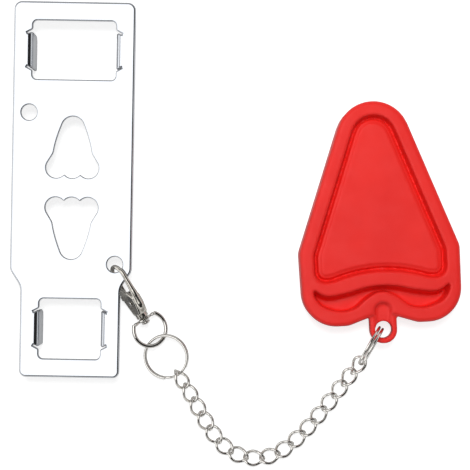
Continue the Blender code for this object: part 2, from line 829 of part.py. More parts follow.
def link_placings():
    """The frame of each link, at its contact with the piece before it, and the last contact."""
    ring = key_ring_placing()
    across = ring.to_3x3() @ Vector((0.0, 0.0, 1.0))
    placings = []
    contact = None
    for heading, slope, roll in zip(link_headings, link_slopes, link_rolls):
        turn = turned(heading, "Z") @ turned(-slope, "Y")
        ahead = turn.to_3x3() @ Vector((1.0, 0.0, 0.0))
        if contact is None:
            outward = (ahead - across * ahead.dot(across)).normalized()
            inside = key_ring_radius - split_wire / 2 - link_play / 2 - strand_room
            contact = ring.translation + outward * inside
        placings.append(Matrix.Translation(contact) @ turn @ turned(roll, "X"))
        slack = link_slack if len(placings) > len(link_headings) - slack_links else 0.0
        contact = contact + ahead * (link_pitch() - slack)
    return placings, contact, ahead


def link_path():
    """The middle line of a twisted oval link, which starts at its contact and runs along X."""
    half_length = (link_length - link_wire) / 2
    half_width = (link_width - link_wire) / 2
    points = []
    for i in range(link_points):
        turn = 2 * math.pi * i / link_points
        twist = math.radians(link_twist / 2) * math.cos(turn)
        side = half_width * math.sin(turn)
        along = link_pitch() / 2 + half_length * math.cos(turn)
        points.append((along, side * math.cos(twist), side * math.sin(twist)))
    return points


def build_chain(material, parent):
    placings, contact, ahead = link_placings()
    for number, placing in enumerate(placings, 1):
        wire = tube(link_path(), [link_wire] * link_points, link_sides, closed=True)
        parent = add_object(f"chain_link_{number:02d}", wire, placing, material, parent)
    return parent


def handle_ring_axes():
    """The handle ring's level direction towards the eye, and the one that its top leans to."""
    heading = math.radians(handle_ring_heading)
    level = Vector((math.cos(heading), math.sin(heading), 0.0))
    return level, Vector((-level.y, level.x, 0.0))


def handle_ring_placing():
    """The standing split ring: the last link hangs on its near side, and its far side is in the eye."""
    placings, contact, ahead = link_placings()
    level, lean = handle_ring_axes()
    tilt = math.radians(handle_ring_tilt)
    left = Vector((-ahead.y, ahead.x, 0.0)).normalized()
    back = split_wire / 2 + link_play / 2 + handle_ring_room - link_slack
    wire = contact - ahead * back - left * handle_ring_side
    height = (handle_ring_lift + handle_ring_radius * math.cos(tilt) + split_wire / 2
              + split_pitch / 2 * math.sin(tilt))
    below = (height - wire.z) / math.cos(tilt)
    reach = math.sqrt(handle_ring_radius ** 2 - below ** 2)
    centre = wire + level * reach + lean * (below * math.sin(tilt))
    centre.z = height
    return frame_of(centre, -level, lean * math.sin(tilt) + Vector((0.0, 0.0, math.cos(tilt))))


def handle_placing():
    """The handle's frame, at the middle of its eye, at the height of its back."""
    level, lean = handle_ring_axes()
    reach = handle_ring_radius + split_wire / 2 - eye_ring_inset
    eye = handle_ring_placing().translation + level * reach - lean * eye_ring_aside
    return Matrix.Translation((eye.x, eye.y, 0.0)) @ turned(handle_lean, "Z")


def side_lean():
    """The angle of the handle's straight sides from its long axis, where they touch the round tip."""
    rise = handle_height - handle_tip_radius - handle_kink
    length = math.hypot(rise, handle_half_width)
    return math.atan2(handle_half_width, rise) - math.asin(handle_tip_radius / length)


def handle_outline():
    peak = handle_kink + handle_half_width / math.tan(side_lean())
    right = [
        (handle_half_width - lobe_bottom_inset, lobe_foot, lobe_bottom_radius),
        (handle_half_width - lobe_corner_inset, lobe_foot, lobe_corner_radius),
        (handle_half_width, handle_kink, handle_kink_radius),
    ]
    corners = [(0.0, valley_height, valley_radius)] + right + [(0.0, peak, handle_tip_radius)]
    corners += [(-x, y, r) for x, y, r in reversed(right)]
    return rounded(corners, handle_arc_step)


def recess_outline():
    """The inner edge of the rim: it follows the handle's sides and tip, and its foot is arched."""
    lean = side_lean()
    side = handle_half_width - rim_width
    peak = handle_kink + handle_half_width / math.tan(lean) - rim_width / math.sin(lean)
    arch_half = handle_half_width - recess_arch_inset
    right = []
    for i in range(1, recess_arch_steps + 1):
        share = i / recess_arch_steps
        lift = recess_arch * (1 - share * share + recess_arch_lift_share)
        right.append((arch_half * share, recess_foot + lift, 0.0))
    right += [
        (side, recess_foot, recess_foot_radius),
        (side, peak - side / math.tan(lean), handle_kink_radius / 2),
    ]
    corners = [(0.0, recess_foot + recess_arch * (1 + recess_arch_lift_share), 0.0)] + right
    corners += [(0.0, peak, handle_tip_radius - rim_width)]
    corners += [(-x, y, r) for x, y, r in reversed(right)]
    return rounded(corners)


def pocket_outline():
    """The curved pocket below the panel: two drooping wings that meet over a hump, with upturned tips."""
    wing_shares = (
        (0.00, 0.75), (0.08, 0.735), (0.23, 0.495), (0.40, 0.105), (0.62, 0.0), (0.86, 0.225), (0.97, 0.56),
        (1.00, 0.865), (0.96, 0.90), (0.87, 0.73), (0.73, 0.66), (0.45, 0.79), (0.22, 0.95),
    )
    foot = pocket_top - pocket_height
    half = handle_half_width - pocket_inset
    right = [(x * half, foot + y * pocket_height) for x, y in wing_shares]
    loop = right + [(0.0, pocket_top)] + [(-x, y) for x, y in reversed(right[1:])]
    return smooth_loop(loop, pocket_steps)


def build_handle(material, parent):
    """The moulded wedge: rim, recessed panel in its groove, curved pocket, and a tab with an eye."""
    top = handle_thickness
    outline = handle_outline()
    layers = [(handle_back_chamfer, 0.0), (0.0, handle_back_chamfer)] + edge_round(handle_edge_radius, top)
    handle = add_object("handle", layered(outline, layers), handle_placing(), material, parent)

    tab_top = top - tab_drop
    tab = rounded([(-tab_radius, tab_root, 0.0), (-tab_radius, -tab_radius, tab_radius * round_end_share),
                   (tab_radius, -tab_radius, tab_radius * round_end_share), (tab_radius, tab_root, 0.0)])
    layers = [(tab_edge_radius, tab_top - tab_thickness), (0.0, tab_top - tab_thickness + tab_edge_radius)]
    combine(handle, layered(tab, layers + edge_round(tab_edge_radius, tab_top)), "UNION", "tab")

    deep = top - recess_depth
    step = recess_wall + groove_width
    recess = layered(recess_outline(), [
        (-rim_round - cut_overrun, top + cut_overrun), (-rim_round, top), (0.0, top - rim_round),
        (recess_wall, deep), (step, deep), (step + panel_step, deep + panel_rise),
    ])
    combine(handle, recess, "DIFFERENCE", "panel_recess")

    floor = top - pocket_depth
    pocket = layered(pocket_outline(), [
        (-rim_round / 2, top + cut_overrun), (-rim_round / 2, top), (0.0, top - rim_round),
        (pocket_wall, floor),
    ])
    combine(handle, pocket, "DIFFERENCE", "pocket")

    bed = tab_top - channel_depth
    channel = rounded([
        (-channel_half_width, 0.0, 0.0), (channel_half_width, 0.0, 0.0),
        (channel_half_width, channel_top, channel_half_width * round_end_share),
        (-channel_half_width, channel_top, channel_half_width * round_end_share),
    ])
    layers = [(-channel_wall, top + cut_overrun), (-channel_wall, top), (channel_wall, bed)]
    combine(handle, layered(channel, layers), "DIFFERENCE", "channel")
    eye = cylinder(eye_diameter, -cut_overrun, top + cut_overrun, "Z", segments=eye_sides)
    combine(handle, eye, "DIFFERENCE", "eye")
    return handle


def main():
    clear_scene()
    steel = make_material("polished_steel", (0.80, 0.81, 0.83), 0.12, 1.0)
    nickel = make_material("nickel_plate", (0.74, 0.72, 0.69), 0.18, 1.0)
    cast = make_material("cast_nickel", (0.55, 0.54, 0.51), 0.35, 1.0)
    spring = make_material("spring_steel", (0.52, 0.52, 0.53), 0.30, 1.0)
    red = make_material("red_moulding", (0.93, 0.04, 0.04), 0.38, 0.0)

    plate = build_plate(steel)
    hook = build_clasp_hook(cast, plate)
    build_gate(cast, hook)
    build_gate_pin(nickel, hook)
    build_gate_spring(spring, hook)
    build_rivet(nickel, hook)
    swivel = build_swivel_ring(nickel, hook)
    key_ring = build_split_ring("key_ring", key_ring_radius, key_ring_placing(), nickel, swivel)
    last_link = build_chain(nickel, key_ring)
    placing = handle_ring_placing()
    handle_ring = build_split_ring("handle_ring", handle_ring_radius, placing, nickel, last_link)
    build_handle(red, handle_ring)
    bpy.context.view_layer.update()


main()
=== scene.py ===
"""Portable door lock: its fine pieces, finishes and studio stage, built around the packed model.

A clawed steel plate and a red wedge handle lie side by side, joined by a clasp, two split rings and a chain.
Lengths are in metres and angles in degrees. X runs to the right, Y away from the viewer and Z up.
"""

import json
import math

import bmesh
import bpy
from bpy.props import FloatProperty, FloatVectorProperty, PointerProperty
from mathutils import Matrix, Vector
from mathutils.geometry import interpolate_bezier


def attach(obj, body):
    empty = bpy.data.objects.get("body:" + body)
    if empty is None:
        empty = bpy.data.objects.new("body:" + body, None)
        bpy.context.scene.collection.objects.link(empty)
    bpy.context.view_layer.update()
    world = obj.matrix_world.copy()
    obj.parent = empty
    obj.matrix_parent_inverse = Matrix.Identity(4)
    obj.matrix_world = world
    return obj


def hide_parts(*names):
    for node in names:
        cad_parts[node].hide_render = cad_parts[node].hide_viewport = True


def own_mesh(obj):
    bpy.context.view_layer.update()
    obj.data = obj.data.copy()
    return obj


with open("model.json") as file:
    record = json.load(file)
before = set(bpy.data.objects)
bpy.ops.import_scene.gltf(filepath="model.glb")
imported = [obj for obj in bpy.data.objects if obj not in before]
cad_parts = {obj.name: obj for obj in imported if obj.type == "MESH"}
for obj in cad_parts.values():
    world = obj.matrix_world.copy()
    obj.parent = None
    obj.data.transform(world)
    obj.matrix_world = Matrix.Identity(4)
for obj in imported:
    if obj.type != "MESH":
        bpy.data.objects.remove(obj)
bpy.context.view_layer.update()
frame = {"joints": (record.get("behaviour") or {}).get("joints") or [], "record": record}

bl_info = {
    "name": "Portable Door Lock",
    "version": (1, 0, 0),
    "blender": (4, 5, 0),
    "location": "3D View > Sidebar > Door Lock",
    "description": "Builds a clawed lock plate with its clasp, chain and wedge handle",
    "category": "Object",
}

JOINTS = {joint["name"]: joint for joint in frame["joints"]}
MOUNTS = {mount["name"]: mount for mount in frame["record"]["mounts"]}
LINK_COUNT = sum(name.startswith("link_") for name in JOINTS)

# Places of the mounts on their pieces
TOP_MOUNT_STATION = 0.0400
BACK_MOUNT_STATION = 0.0400

# Plate
FOOT_WIDTH = 0.0426
FOOT_LENGTH = 0.0385
WAIST_LENGTH = 0.0069
WAIST_OUTER_RADIUS = 0.0045
WAIST_INNER_RADIUS = 0.0070
HEAD_CORNER_RADIUS = 0.0034
FOOT_CORNER_RADIUS = 0.0028
WINDOW_END = 0.0207
WIDE_WINDOW = (0.0353, 0.0249)
NARROW_WINDOW = (0.0260, 0.0254)
WINDOW_CORNER_RADIUS = 0.0019
RELIEF_WIDTH = 0.0010
SLIT_WIDTH = 0.0005
CLAW_ROOT_INSET = 0.0009
BEND_INNER_RADIUS = 0.0012
CLAW_TIP_RADIUS = 0.0030
LOWER_EDGE_ROUND = 0.00025
CLAW_HEEL_RADIUS = 0.0009
CLAW_BEND_STEPS = 12
CLAW_CORNER_STEPS = 8
CLAW_FULL_AT = 2 / 3
CLAW_ROOT_FACING = 0.9
ROUND_HOLE_SPREAD = 0.0375
ROUND_HOLE_END = 0.0479
ROUND_HOLE_SIDES = 56
PATTERN_RISE = 0.0005
BELL_LENGTH = 0.0262
BELL_GAP = 0.00825
BELL_RISE = 0.00075
BELL_LOBE_RADIUS = 0.00435
BELL_LOBE_SPACING = 0.00685
BELL_FLARE = 32.0
BELL_KINK = (0.00815, 0.0105)
BELL_KINK_ROUND = 0.0009
BELL_SIDE = (0.00705, 0.01695)
BELL_TIP_RADIUS = 0.00485
BELL_TIP_FLARE = 22.0
BELL_CURVE_POINTS = 7
RIM_KINDS = {"hole": 1, "window": 2, "outside": 3}
RIM_ANGLE = 50.0
FLAT_ANGLE = 1.0
SHEET_NORMAL_WEIGHT = 80
WINDOW_STEPS = 4
OUTSIDE_STEPS = 5

# Clasp, in its own frame: X from the collar to the hook, Y from the gate to the spine, Z through it
HOOK_REACH = 0.0248
HOOK_BEND_RADIUS = 0.0046
HOOK_TIP_TURN = 165.0
HOOK_TIP_ROUND = 0.0005
ROOT_POINTS = 4
SPINE_POINTS = 8
SPINE_OFFSET = 0.0045
SPINE_ROOT = 0.0066
COLLAR_DIAMETER = 0.0052
COLLAR_LENGTH = 0.0026
BODY_ROOT = 0.0016
BODY_ROOT_HALF_WIDTH = 0.0027
BODY_HEEL = 0.0090
BODY_LOW_SIDE = 0.0045
BODY_MOUTH = (0.0162, 0.0167)
BODY_MOUTH_DEPTH = 0.0013
MOUTH_CORNER_RADIUS = 0.0006
BODY_FRONT = 0.0102
FAR_CHEEK_END = 0.0120
BACK_RISE = 0.0012
BACK_ROOT = 0.0030
BACK_WIDE = 0.0036
BACK_FRONT = 0.0130
BACK_POINTS = 8
BODY_EDGE_RADIUS = 0.0005
BODY_CORNER_RADIUS = 0.0010
BODY_BEND_RADIUS = 0.0020
SLOT_WIDTH = 0.0022
SLOT_BACK = 0.0052
SLOT_FLOOR = 0.0021
GATE_THICKNESS = 0.0016
GATE_BAR = 0.0017
GATE_PIVOT = (0.0078, 0.0004)
GATE_LINE = -0.0041
GATE_LENGTH = 0.0204
GATE_BOSS_RADIUS = 0.0014
GATE_BOSS_ROUND = 0.0012
GATE_CORNER_RADIUS = 0.0005
GATE_EDGE_RADIUS = 0.0002
GATE_EDGE_STEPS = 2
SPRING_SEAT = (0.0096, 0.0121)
GATE_BACK = -0.0014
SPRING_DIAMETER = 0.0017
SPRING_WIRE = 0.0003
SPRING_TURNS = 3
SPRING_TURN_POINTS = 20
SPRING_STATION = 0.0107
SPRING_GAP = 0.0003
SPRING_SIDES = 12
THUMB_REACH = 0.0066
THUMB_START = 0.0092
THUMB_WIDTH = 0.0024
PAD_THICKNESS = 0.0011
PAD_WIDTH = 0.0032
PIN_DIAMETER = 0.0014
PIN_HEAD_DIAMETER = 0.0022
PIN_HEAD_HEIGHT = 0.0003
PIN_CLEARANCE = 0.0002
PIN_SIDES = 36
CAST_SMOOTHING = 3
LEVER_VOXEL_SHARE = 0.8
LEVER_SMOOTHING = 2

# Swivel, rings and chain
RIVET_DIAMETER = 0.0020
RIVET_HEAD_DIAMETER = 0.0036
RIVET_HEAD_HEIGHT = 0.0010
RIVET_DEPTH = 0.0016
RIVET_RIM_SHARE = 0.3
RIVET_SIDES = 40
HUB_LENGTH = 0.0108
HUB_THICKNESS = 0.0019
HUB_WIDTH = 0.0034
HUB_SHARES = (
    (0.0, 0.0034), (0.26, 0.0034), (0.36, 0.0028), (0.46, 0.0020), (0.62, 0.0019),
    (0.72, 0.0024), (0.82, 0.0028), (0.90, 0.0027), (0.96, 0.0020), (1.00, 0.0008),
)
SWIVEL_CHORD = 0.0050
SWIVEL_ROOT_SHARE = 0.96
SWIVEL_TURN = 24.1
SWIVEL_STEPS = 72
SPLIT_CROSSOVER = 52.0
SPLIT_END_GAP = 7.0
SPLIT_END_ROUND = 0.00012
SPLIT_TURNS = 2
SPLIT_STEPS = 150
SPLIT_SIDES = 20
STRAND_ROOM = 0.0006
LINK_PLAY = 0.00034
LINK_POINTS = 60
LINK_SIDES = 18
LINK_SEAM = 0.00006
LINK_SEAM_SHARE = 0.9
LINK_SEAM_REACH = 1.5
LINK_ROLLS = (-44, -32, -20, -10, 0, 0, 0, 0, 0, 0, 0, 0, 0, -10, -20, -32, -44)

# Handle, in its own frame: X across, Y from the eye to the tip, Z up from its flat back
HANDLE_LEAN = 3.1
TIP_RADIUS = 0.0157
KINK_STATION = 0.0343
KINK_RADIUS = 0.0080
LOBE_CORNER_INSET = 0.0005
LOBE_FOOT = 0.0024
LOBE_CORNER_RADIUS = 0.0145
LOBE_BOTTOM_INSET = 0.0194
LOBE_BOTTOM_RADIUS = 0.0080
VALLEY_STATION = 0.0074
VALLEY_RADIUS = 0.0050
BACK_CHAMFER = 0.0006
RIM_WIDTH = 0.0058
RECESS_FOOT = 0.0204
RECESS_FOOT_RADIUS = 0.0052
RECESS_ARCH = 0.0036
RECESS_ARCH_INSET = 0.0142
RECESS_ARCH_LIFT_SHARE = 0.2
ARCH_POINTS = 8
RECESS_DEPTH = 0.0048
RECESS_WALL = 0.0011
GROOVE_WIDTH = 0.0003
LEDGE_STEP = 0.0008
LEDGE_RISE = 0.0023
LEDGE_WIDTH = 0.0011
PANEL_STEP = 0.0004
PANEL_RISE = 0.0005
POCKET_TOP = 0.0192
POCKET_INSET = 0.0050
POCKET_HEIGHT = 0.0105
POCKET_DEPTH = 0.0066
POCKET_WALL = 0.0010
POCKET_SHIFT = 0.0010
POCKET_CURVE_POINTS = 7
POCKET_SHARES = (
    (0.00, 0.71), (0.08, 0.69), (0.23, 0.46), (0.40, 0.10), (0.62, 0.0), (0.86, 0.22), (0.97, 0.56),
    (1.00, 0.87), (0.96, 0.91), (0.87, 0.74), (0.73, 0.67), (0.45, 0.80), (0.22, 0.955),
)
TAB_RADIUS = 0.0058
TAB_THICKNESS = 0.0054
TAB_DROP = 0.0010
TAB_ROOT = 0.0095
TAB_EDGE_RADIUS = 0.0009
EYE_DIAMETER = 0.0073
EYE_SIDES = 72
CHANNEL_HALF_WIDTH = 0.0034
CHANNEL_TOP = 0.0122
CHANNEL_DEPTH = 0.0009
CHANNEL_WALL = 0.0007
ROUND_END_SHARE = 0.98
HANDLE_EDGE_STEPS = 6
MOULDING_SMOOTHING = 4

# Paper: how much it is lifted to white for the camera, and less where metal mirrors it
PAPER_LIFT = 0.76
MIRRORED_PAPER_LIFT = 0.10

# Studio, as metal mirrors it. A lean is where a thing hangs, and an edge is where it fades out and in
SOFTBOX_LEAN = (-0.276, 0.045, 0.96)
SOFTBOX_EDGE = (0.87, 0.895)
CEILING_LEAN = (0.18, -0.14, 1.0)
CEILING_EDGE = (0.20, 0.60)
CEILING_LEVEL = 0.03
FAR_WALL_EDGE = (0.30, 0.50)
FAR_WALL_SHARE = 0.45

# Lamp, camera and floor, and the highest level that a setting can take
LAMP_PLACE = (-0.03, 0.34, 0.77)
LAMP_DIAMETER = 0.4
LAMP_WATTS = 4.9
CAMERA_PLACE = (-0.0002, 0.00027)
FLOOR_SIDES = 96
HIGHEST_LEVEL = 4.0

# Clearances and fineness
TOUCH_GAP = 0.0003
OVERRUN = 0.001
SAME_PLACE = 0.00001
ARC_STEP = 7.0
SHARP_ANGLE = 40.0
EDGE_STEPS = 3
DOME_STEPS = 6
FINE_WIRE_SIDES = 24
RING_SIDES = 28
ROD_SIDES = 48

# The vertical, and the two ways in which solids are combined
UP = Vector((0.0, 0.0, 1.0))
CUT = "DIFFERENCE"
JOIN = "UNION"


def linear(hex_colour):
    """An sRGB hex colour as the linear values that shaders and colour properties hold."""
    parts = [int(hex_colour[i:i + 2], 16) / 255 for i in (1, 3, 5)]
    return tuple(p / 12.92 if p <= 0.04045 else ((p + 0.055) / 1.055) ** 2.4 for p in parts)


def a_length(name, description, default):
    return FloatProperty(name=name, description=description, default=default, min=0.0, unit="LENGTH",
                         precision=5)


def a_colour(name, description, default):
    return FloatVectorProperty(name=name, description=description, default=linear(default), size=3, min=0.0,
                               max=1.0, subtype="COLOR")


def a_level(name, description, default):
    return FloatProperty(name=name, description=description, default=default, min=0.0, max=HIGHEST_LEVEL,
                         subtype="FACTOR")


class PlateSettings(bpy.types.PropertyGroup):
    """Sizes and colour of the steel plate."""

    length: a_length("Length", "From the head to the foot of the plate", 0.1600)
    width: a_length("Width", "Across the plate's broader upper part", 0.0518)
    sheet: a_length("Sheet", "Thickness of the steel sheet", 0.0015)
    claw_depth: a_length("Claw depth", "How far the claws reach below the sheet", 0.0090)
    claw_width: a_length("Claw width", "Width of each claw", 0.0154)
    round_hole: a_length("Round hole", "Diameter of the two round holes", 0.0067)
    edge_round: a_length("Edge round", "Radius of the rolled outer edge", 0.0010)
    window_round: a_length("Window round", "Radius of the rolled edges of windows and claws", 0.0007)
    hole_round: a_length("Hole round", "Radius of the edges of the round and bell-shaped holes", 0.0005)
    colour: a_colour("Steel", "Polished stainless steel", "#C6C9CE")


class ClaspSettings(bpy.types.PropertyGroup):
    """Sizes and colour of the trigger clasp."""

    body_thickness: a_length("Body thickness", "Through the cast body", 0.0044)
    spine_wire: a_length("Spine", "Thickness of the spine that carries the hook", 0.0027)
    hook_wire: a_length("Hook bend", "Thickness of the hook where it bends", 0.0019)
    tip_wire: a_length("Hook tip", "Thickness of the hook at its tip", 0.0018)
    voxel: a_length("Casting fineness", "Grid that softens the casting's edges", 0.00015)
    colour: a_colour("Casting", "Nickel plate over tumbled zinc", "#C6C2BA")


class RingSettings(bpy.types.PropertyGroup):
    """Sizes and colour of the swivel ring, the split rings and the chain."""

    swivel_radius: a_length("Swivel radius", "Radius of the swivel ring at the middle of its wire", 0.00735)
    swivel_wire: a_length("Swivel wire", "Thickness of the swivel ring's wire", 0.0017)
    key_ring_radius: a_length("Key ring radius", "Radius of the split ring next to the clasp", 0.0093)
    handle_ring_radius: a_length("Handle ring radius", "Radius of the split ring at the handle", 0.0088)
    split_wire: a_length("Split ring wire", "Thickness of the split rings' wire", 0.0011)
    split_pitch: a_length("Split ring pitch", "From one turn of a split ring to the next", 0.00152)
    link_length: a_length("Link length", "Outer length of a chain link", 0.0098)
    link_width: a_length("Link width", "Outer width of a chain link", 0.0073)
    link_wire: a_length("Link wire", "Thickness of the links' wire", 0.0012)
    link_twist: FloatProperty(name="Link twist", description="Turn from one end of a link to the other",
                              default=math.radians(92.0), subtype="ANGLE")
    colour: a_colour("Nickel", "Bright nickel plate on steel wire", "#E0DDD8")


class HandleSettings(bpy.types.PropertyGroup):
    """Sizes and colour of the wedge handle."""

    height: a_length("Height", "From the middle of the eye to the tip", 0.0974)
    half_width: a_length("Half width", "From the middle to one side", 0.0342)
    thickness: a_length("Thickness", "From the flat back to the rim's top", 0.0120)
    edge_round: a_length("Edge round", "Radius of the rim's outer edge", 0.0018)
    voxel: a_length("Moulding fineness", "Grid that softens the moulding's edges", 0.00043)
    colour: a_colour("Red", "Red of the moulded plastic", "#EF2822")
    deep_colour: a_colour("Deep red", "Slightly darker flow of the same plastic", "#E8231E")


class StageSettings(bpy.types.PropertyGroup):
    """The floor, the light and the camera."""

    floor_radius: a_length("Floor radius", "Radius of the floor disc", 0.60)
    floor_colour: a_colour("Floor", "Colour of the floor", "#C2C2C2")
    camera_height: a_length("Camera height", "Height of the camera over the floor", 0.4355)
    view_width: a_length("View width", "Width of the floor that the picture shows", 0.20467)
    light_level: a_level("Light level", "Level of the plain studio light", 0.32)
    wall_level: a_level("Wall level", "Brightness of the pale walls that metal reflects", 1.5)
    softbox_level: a_level("Softbox level", "Brightness of the softbox that metal reflects", 1.85)


def joint_place(name):
    return Vector(JOINTS[name]["pos_m"])


def joint_axis(name):
    return Vector(JOINTS[name]["axis"]).normalized()


def frame_of(origin, first, second):
    """A placing from its origin and its own X and Y."""
    third = first.cross(second)
    rows = [(first[i], second[i], third[i], origin[i]) for i in range(3)]
    return Matrix(rows + [(0.0, 0.0, 0.0, 1.0)])


def rolled_frame(origin, along, roll):
    """A placing with X along a line, turned about it by a roll from level."""
    left = UP.cross(along).normalized()
    turn = math.radians(roll)
    return frame_of(origin, along, left * math.cos(turn) + along.cross(left) * math.sin(turn))


def plate_placing():
    """The plate's frame, on the floor below the middle of the sheet."""
    across = -Vector(MOUNTS["wide_claw_face"]["axis"])
    along = UP.cross(across)
    middle = Vector(MOUNTS["sheet_top"]["pos_m"]) - along * TOP_MOUNT_STATION
    return frame_of(Vector((middle.x, middle.y, 0.0)), across, along)


def clasp_placing():
    along = joint_axis("swivel_turn")
    return frame_of(joint_place("swivel_turn"), along, joint_axis("gate_turn").cross(along))


def swivel_placing():
    return rolled_frame(joint_place("swivel_turn"), joint_axis("swivel_turn"), SWIVEL_TURN)


def chain_contacts():
    """Where each link meets the piece before it, and last where the handle ring meets the chain."""
    names = [f"link_{number:02d}_swing" for number in range(1, LINK_COUNT + 1)]
    return [joint_place(name) for name in names + ["handle_ring_swing"]]


def key_ring_placing(settings):
    contacts = chain_contacts()
    normal = joint_axis("key_ring_swing")
    ahead = (contacts[1] - contacts[0]).normalized()
    outward = (ahead - normal * ahead.dot(normal)).normalized()
    reach = settings.key_ring_radius - settings.split_wire / 2 - LINK_PLAY / 2 - STRAND_ROOM
    along = joint_axis("swivel_turn")
    level = Vector((along.x, along.y, 0.0)).normalized()
    return frame_of(contacts[0] - outward * reach, -level, normal.cross(-level))


def handle_ring_placing():
    axis = -joint_axis("handle_lift")
    first = Vector((-axis.y, axis.x, 0.0)).normalized()
    return frame_of(joint_place("handle_lift"), first, axis.cross(first))


def handle_placing():
    lean = Matrix.Rotation(math.radians(HANDLE_LEAN), 4, "Z")
    back = Vector(MOUNTS["handle_back"]["pos_m"])
    return Matrix.Translation(back) @ lean @ Matrix.Translation((0.0, -BACK_MOUNT_STATION, 0.0))


def link_placing(contacts, number):
    """The frame of one link: its contact, X along it, turned about X by its roll."""
    ahead = (contacts[number + 1] - contacts[number]).normalized()
    return rolled_frame(contacts[number], ahead, LINK_ROLLS[number])


def between(start, end, share):
    return start + (end - start) * share


def eased(share):
    """A share that starts and ends gently."""
    return share * share * (3 - 2 * share)


def on_circle(radius, angle, rise=0.0):
    return Vector((radius * math.cos(angle), radius * math.sin(angle), rise))


def mirrored(right):
    """The left side of an outline whose right side is given as (x, y, radius)."""
    return [(-x, y, r) for x, y, r in reversed(right)]


def new_parts(made, kind):
    return [part for part in made["geom"] if isinstance(part, kind)]


def faces_out(bm):
    bmesh.ops.recalc_face_normals(bm, faces=bm.faces[:])


def move(bm, way):
    bmesh.ops.translate(bm, vec=way, verts=bm.verts[:])


def outline_face(bm, corners, height):
    """One flat face through corners (x, y, radius), each rounded to its radius."""
    verts = [bm.verts.new((x, y, height)) for x, y, _ in corners]
    bm.faces.new(verts)
    for i, (x, y, radius) in enumerate(corners):
        if radius <= 0.0:
            continue
        here = Vector((x, y, height))
        back = (Vector((*corners[i - 1][:2], height)) - here).normalized()
        ahead = (Vector((*corners[(i + 1) % len(corners)][:2], height)) - here).normalized()
        half = back.angle(ahead) / 2
        steps = max(2, math.ceil((180.0 - math.degrees(2 * half)) / ARC_STEP))
        made = bmesh.ops.bevel(bm, geom=[verts[i]], offset=radius / math.tan(half), offset_type="OFFSET",
                               segments=steps, profile=0.5, affect="VERTICES", clamp_overlap=False,
                               material=-1)
        centre = here + (back + ahead).normalized() * (radius / math.sin(half))
        for vert in made["verts"]:
            vert.co = centre + (vert.co - centre).normalized() * radius
    return bm.faces[:][-1]


def raise_faces(bm, faces, height):
    """Extrudes faces by a height along Z and returns the new ones."""
    made = bmesh.ops.extrude_face_region(bm, geom=faces)
    bmesh.ops.translate(bm, vec=(0.0, 0.0, height), verts=new_parts(made, bmesh.types.BMVert))
    return new_parts(made, bmesh.types.BMFace)


def rims_at(bm, height):
    """The edges that run round the shape at a height."""
    return [e for e in bm.edges if all(abs(v.co.z - height) < SAME_PLACE for v in e.verts)]


def round_edges(bm, edges, radius, steps, clamp=True):
    bmesh.ops.bevel(bm, geom=edges, offset=radius, offset_type="OFFSET", segments=steps, profile=0.5,
                    affect="EDGES", clamp_overlap=clamp, material=-1)


def slab(corners, low, high, low_round, high_round, steps=EDGE_STEPS):
    """A solid between two heights from one outline, with its lower and upper edges rounded."""
    bm = bmesh.new()
    face = outline_face(bm, corners, low)
    raise_faces(bm, [face], high - low)
    faces_out(bm)
    for height, radius in ((low, low_round), (high, high_round)):
        if radius > 0.0:
            round_edges(bm, rims_at(bm, height), radius, steps)
    return bm


def sunk(corners, top, steps):
    """A cutter that starts above the top and goes down in steps (inset, rise)."""
    bm = bmesh.new()
    face = outline_face(bm, corners, top + OVERRUN)
    face = raise_faces(bm, [face], -OVERRUN)[0]
    faces_out(bm)
    for inwards, rise in steps:
        bmesh.ops.inset_region(bm, faces=[face], thickness=inwards, depth=-rise, use_even_offset=True)
    return bm


def block(low, high):
    """A box between two corners."""
    bm = bmesh.new()
    bmesh.ops.create_cube(bm, size=1.0)
    bmesh.ops.scale(bm, vec=[b - a for a, b in zip(low, high)], verts=bm.verts[:])
    move(bm, [(a + b) / 2 for a, b in zip(low, high)])
    return bm


def rod(diameter, low, high, axis="Z", centre=(0.0, 0.0, 0.0), sides=ROD_SIDES):
    """A plain round bar along X or Z, between two places on that axis."""
    bm = bmesh.new()
    bmesh.ops.create_cone(bm, cap_ends=True, segments=sides, radius1=diameter / 2, radius2=diameter / 2,
                          depth=high - low)
    move(bm, (0.0, 0.0, (low + high) / 2))
    if axis == "X":
        bmesh.ops.rotate(bm, matrix=Matrix.Rotation(math.radians(90.0), 3, "Y"), verts=bm.verts[:])
    move(bm, centre)
    return bm


def lathe(profile, axis, steps):
    """Turns a profile of (along, radius) points about X or Z."""
    bm = bmesh.new()
    verts = [bm.verts.new((a, r, 0.0) if axis == "X" else (r, 0.0, a)) for a, r in profile]
    edges = [bm.edges.new(pair) for pair in zip(verts, verts[1:])]
    bmesh.ops.spin(bm, geom=verts + edges, cent=(0.0, 0.0, 0.0), axis=(1.0, 0.0, 0.0) if axis == "X" else UP,
                   angle=math.tau, steps=steps, use_merge=True)
    bmesh.ops.remove_doubles(bm, verts=bm.verts[:], dist=SAME_PLACE)
    faces_out(bm)
    return bm


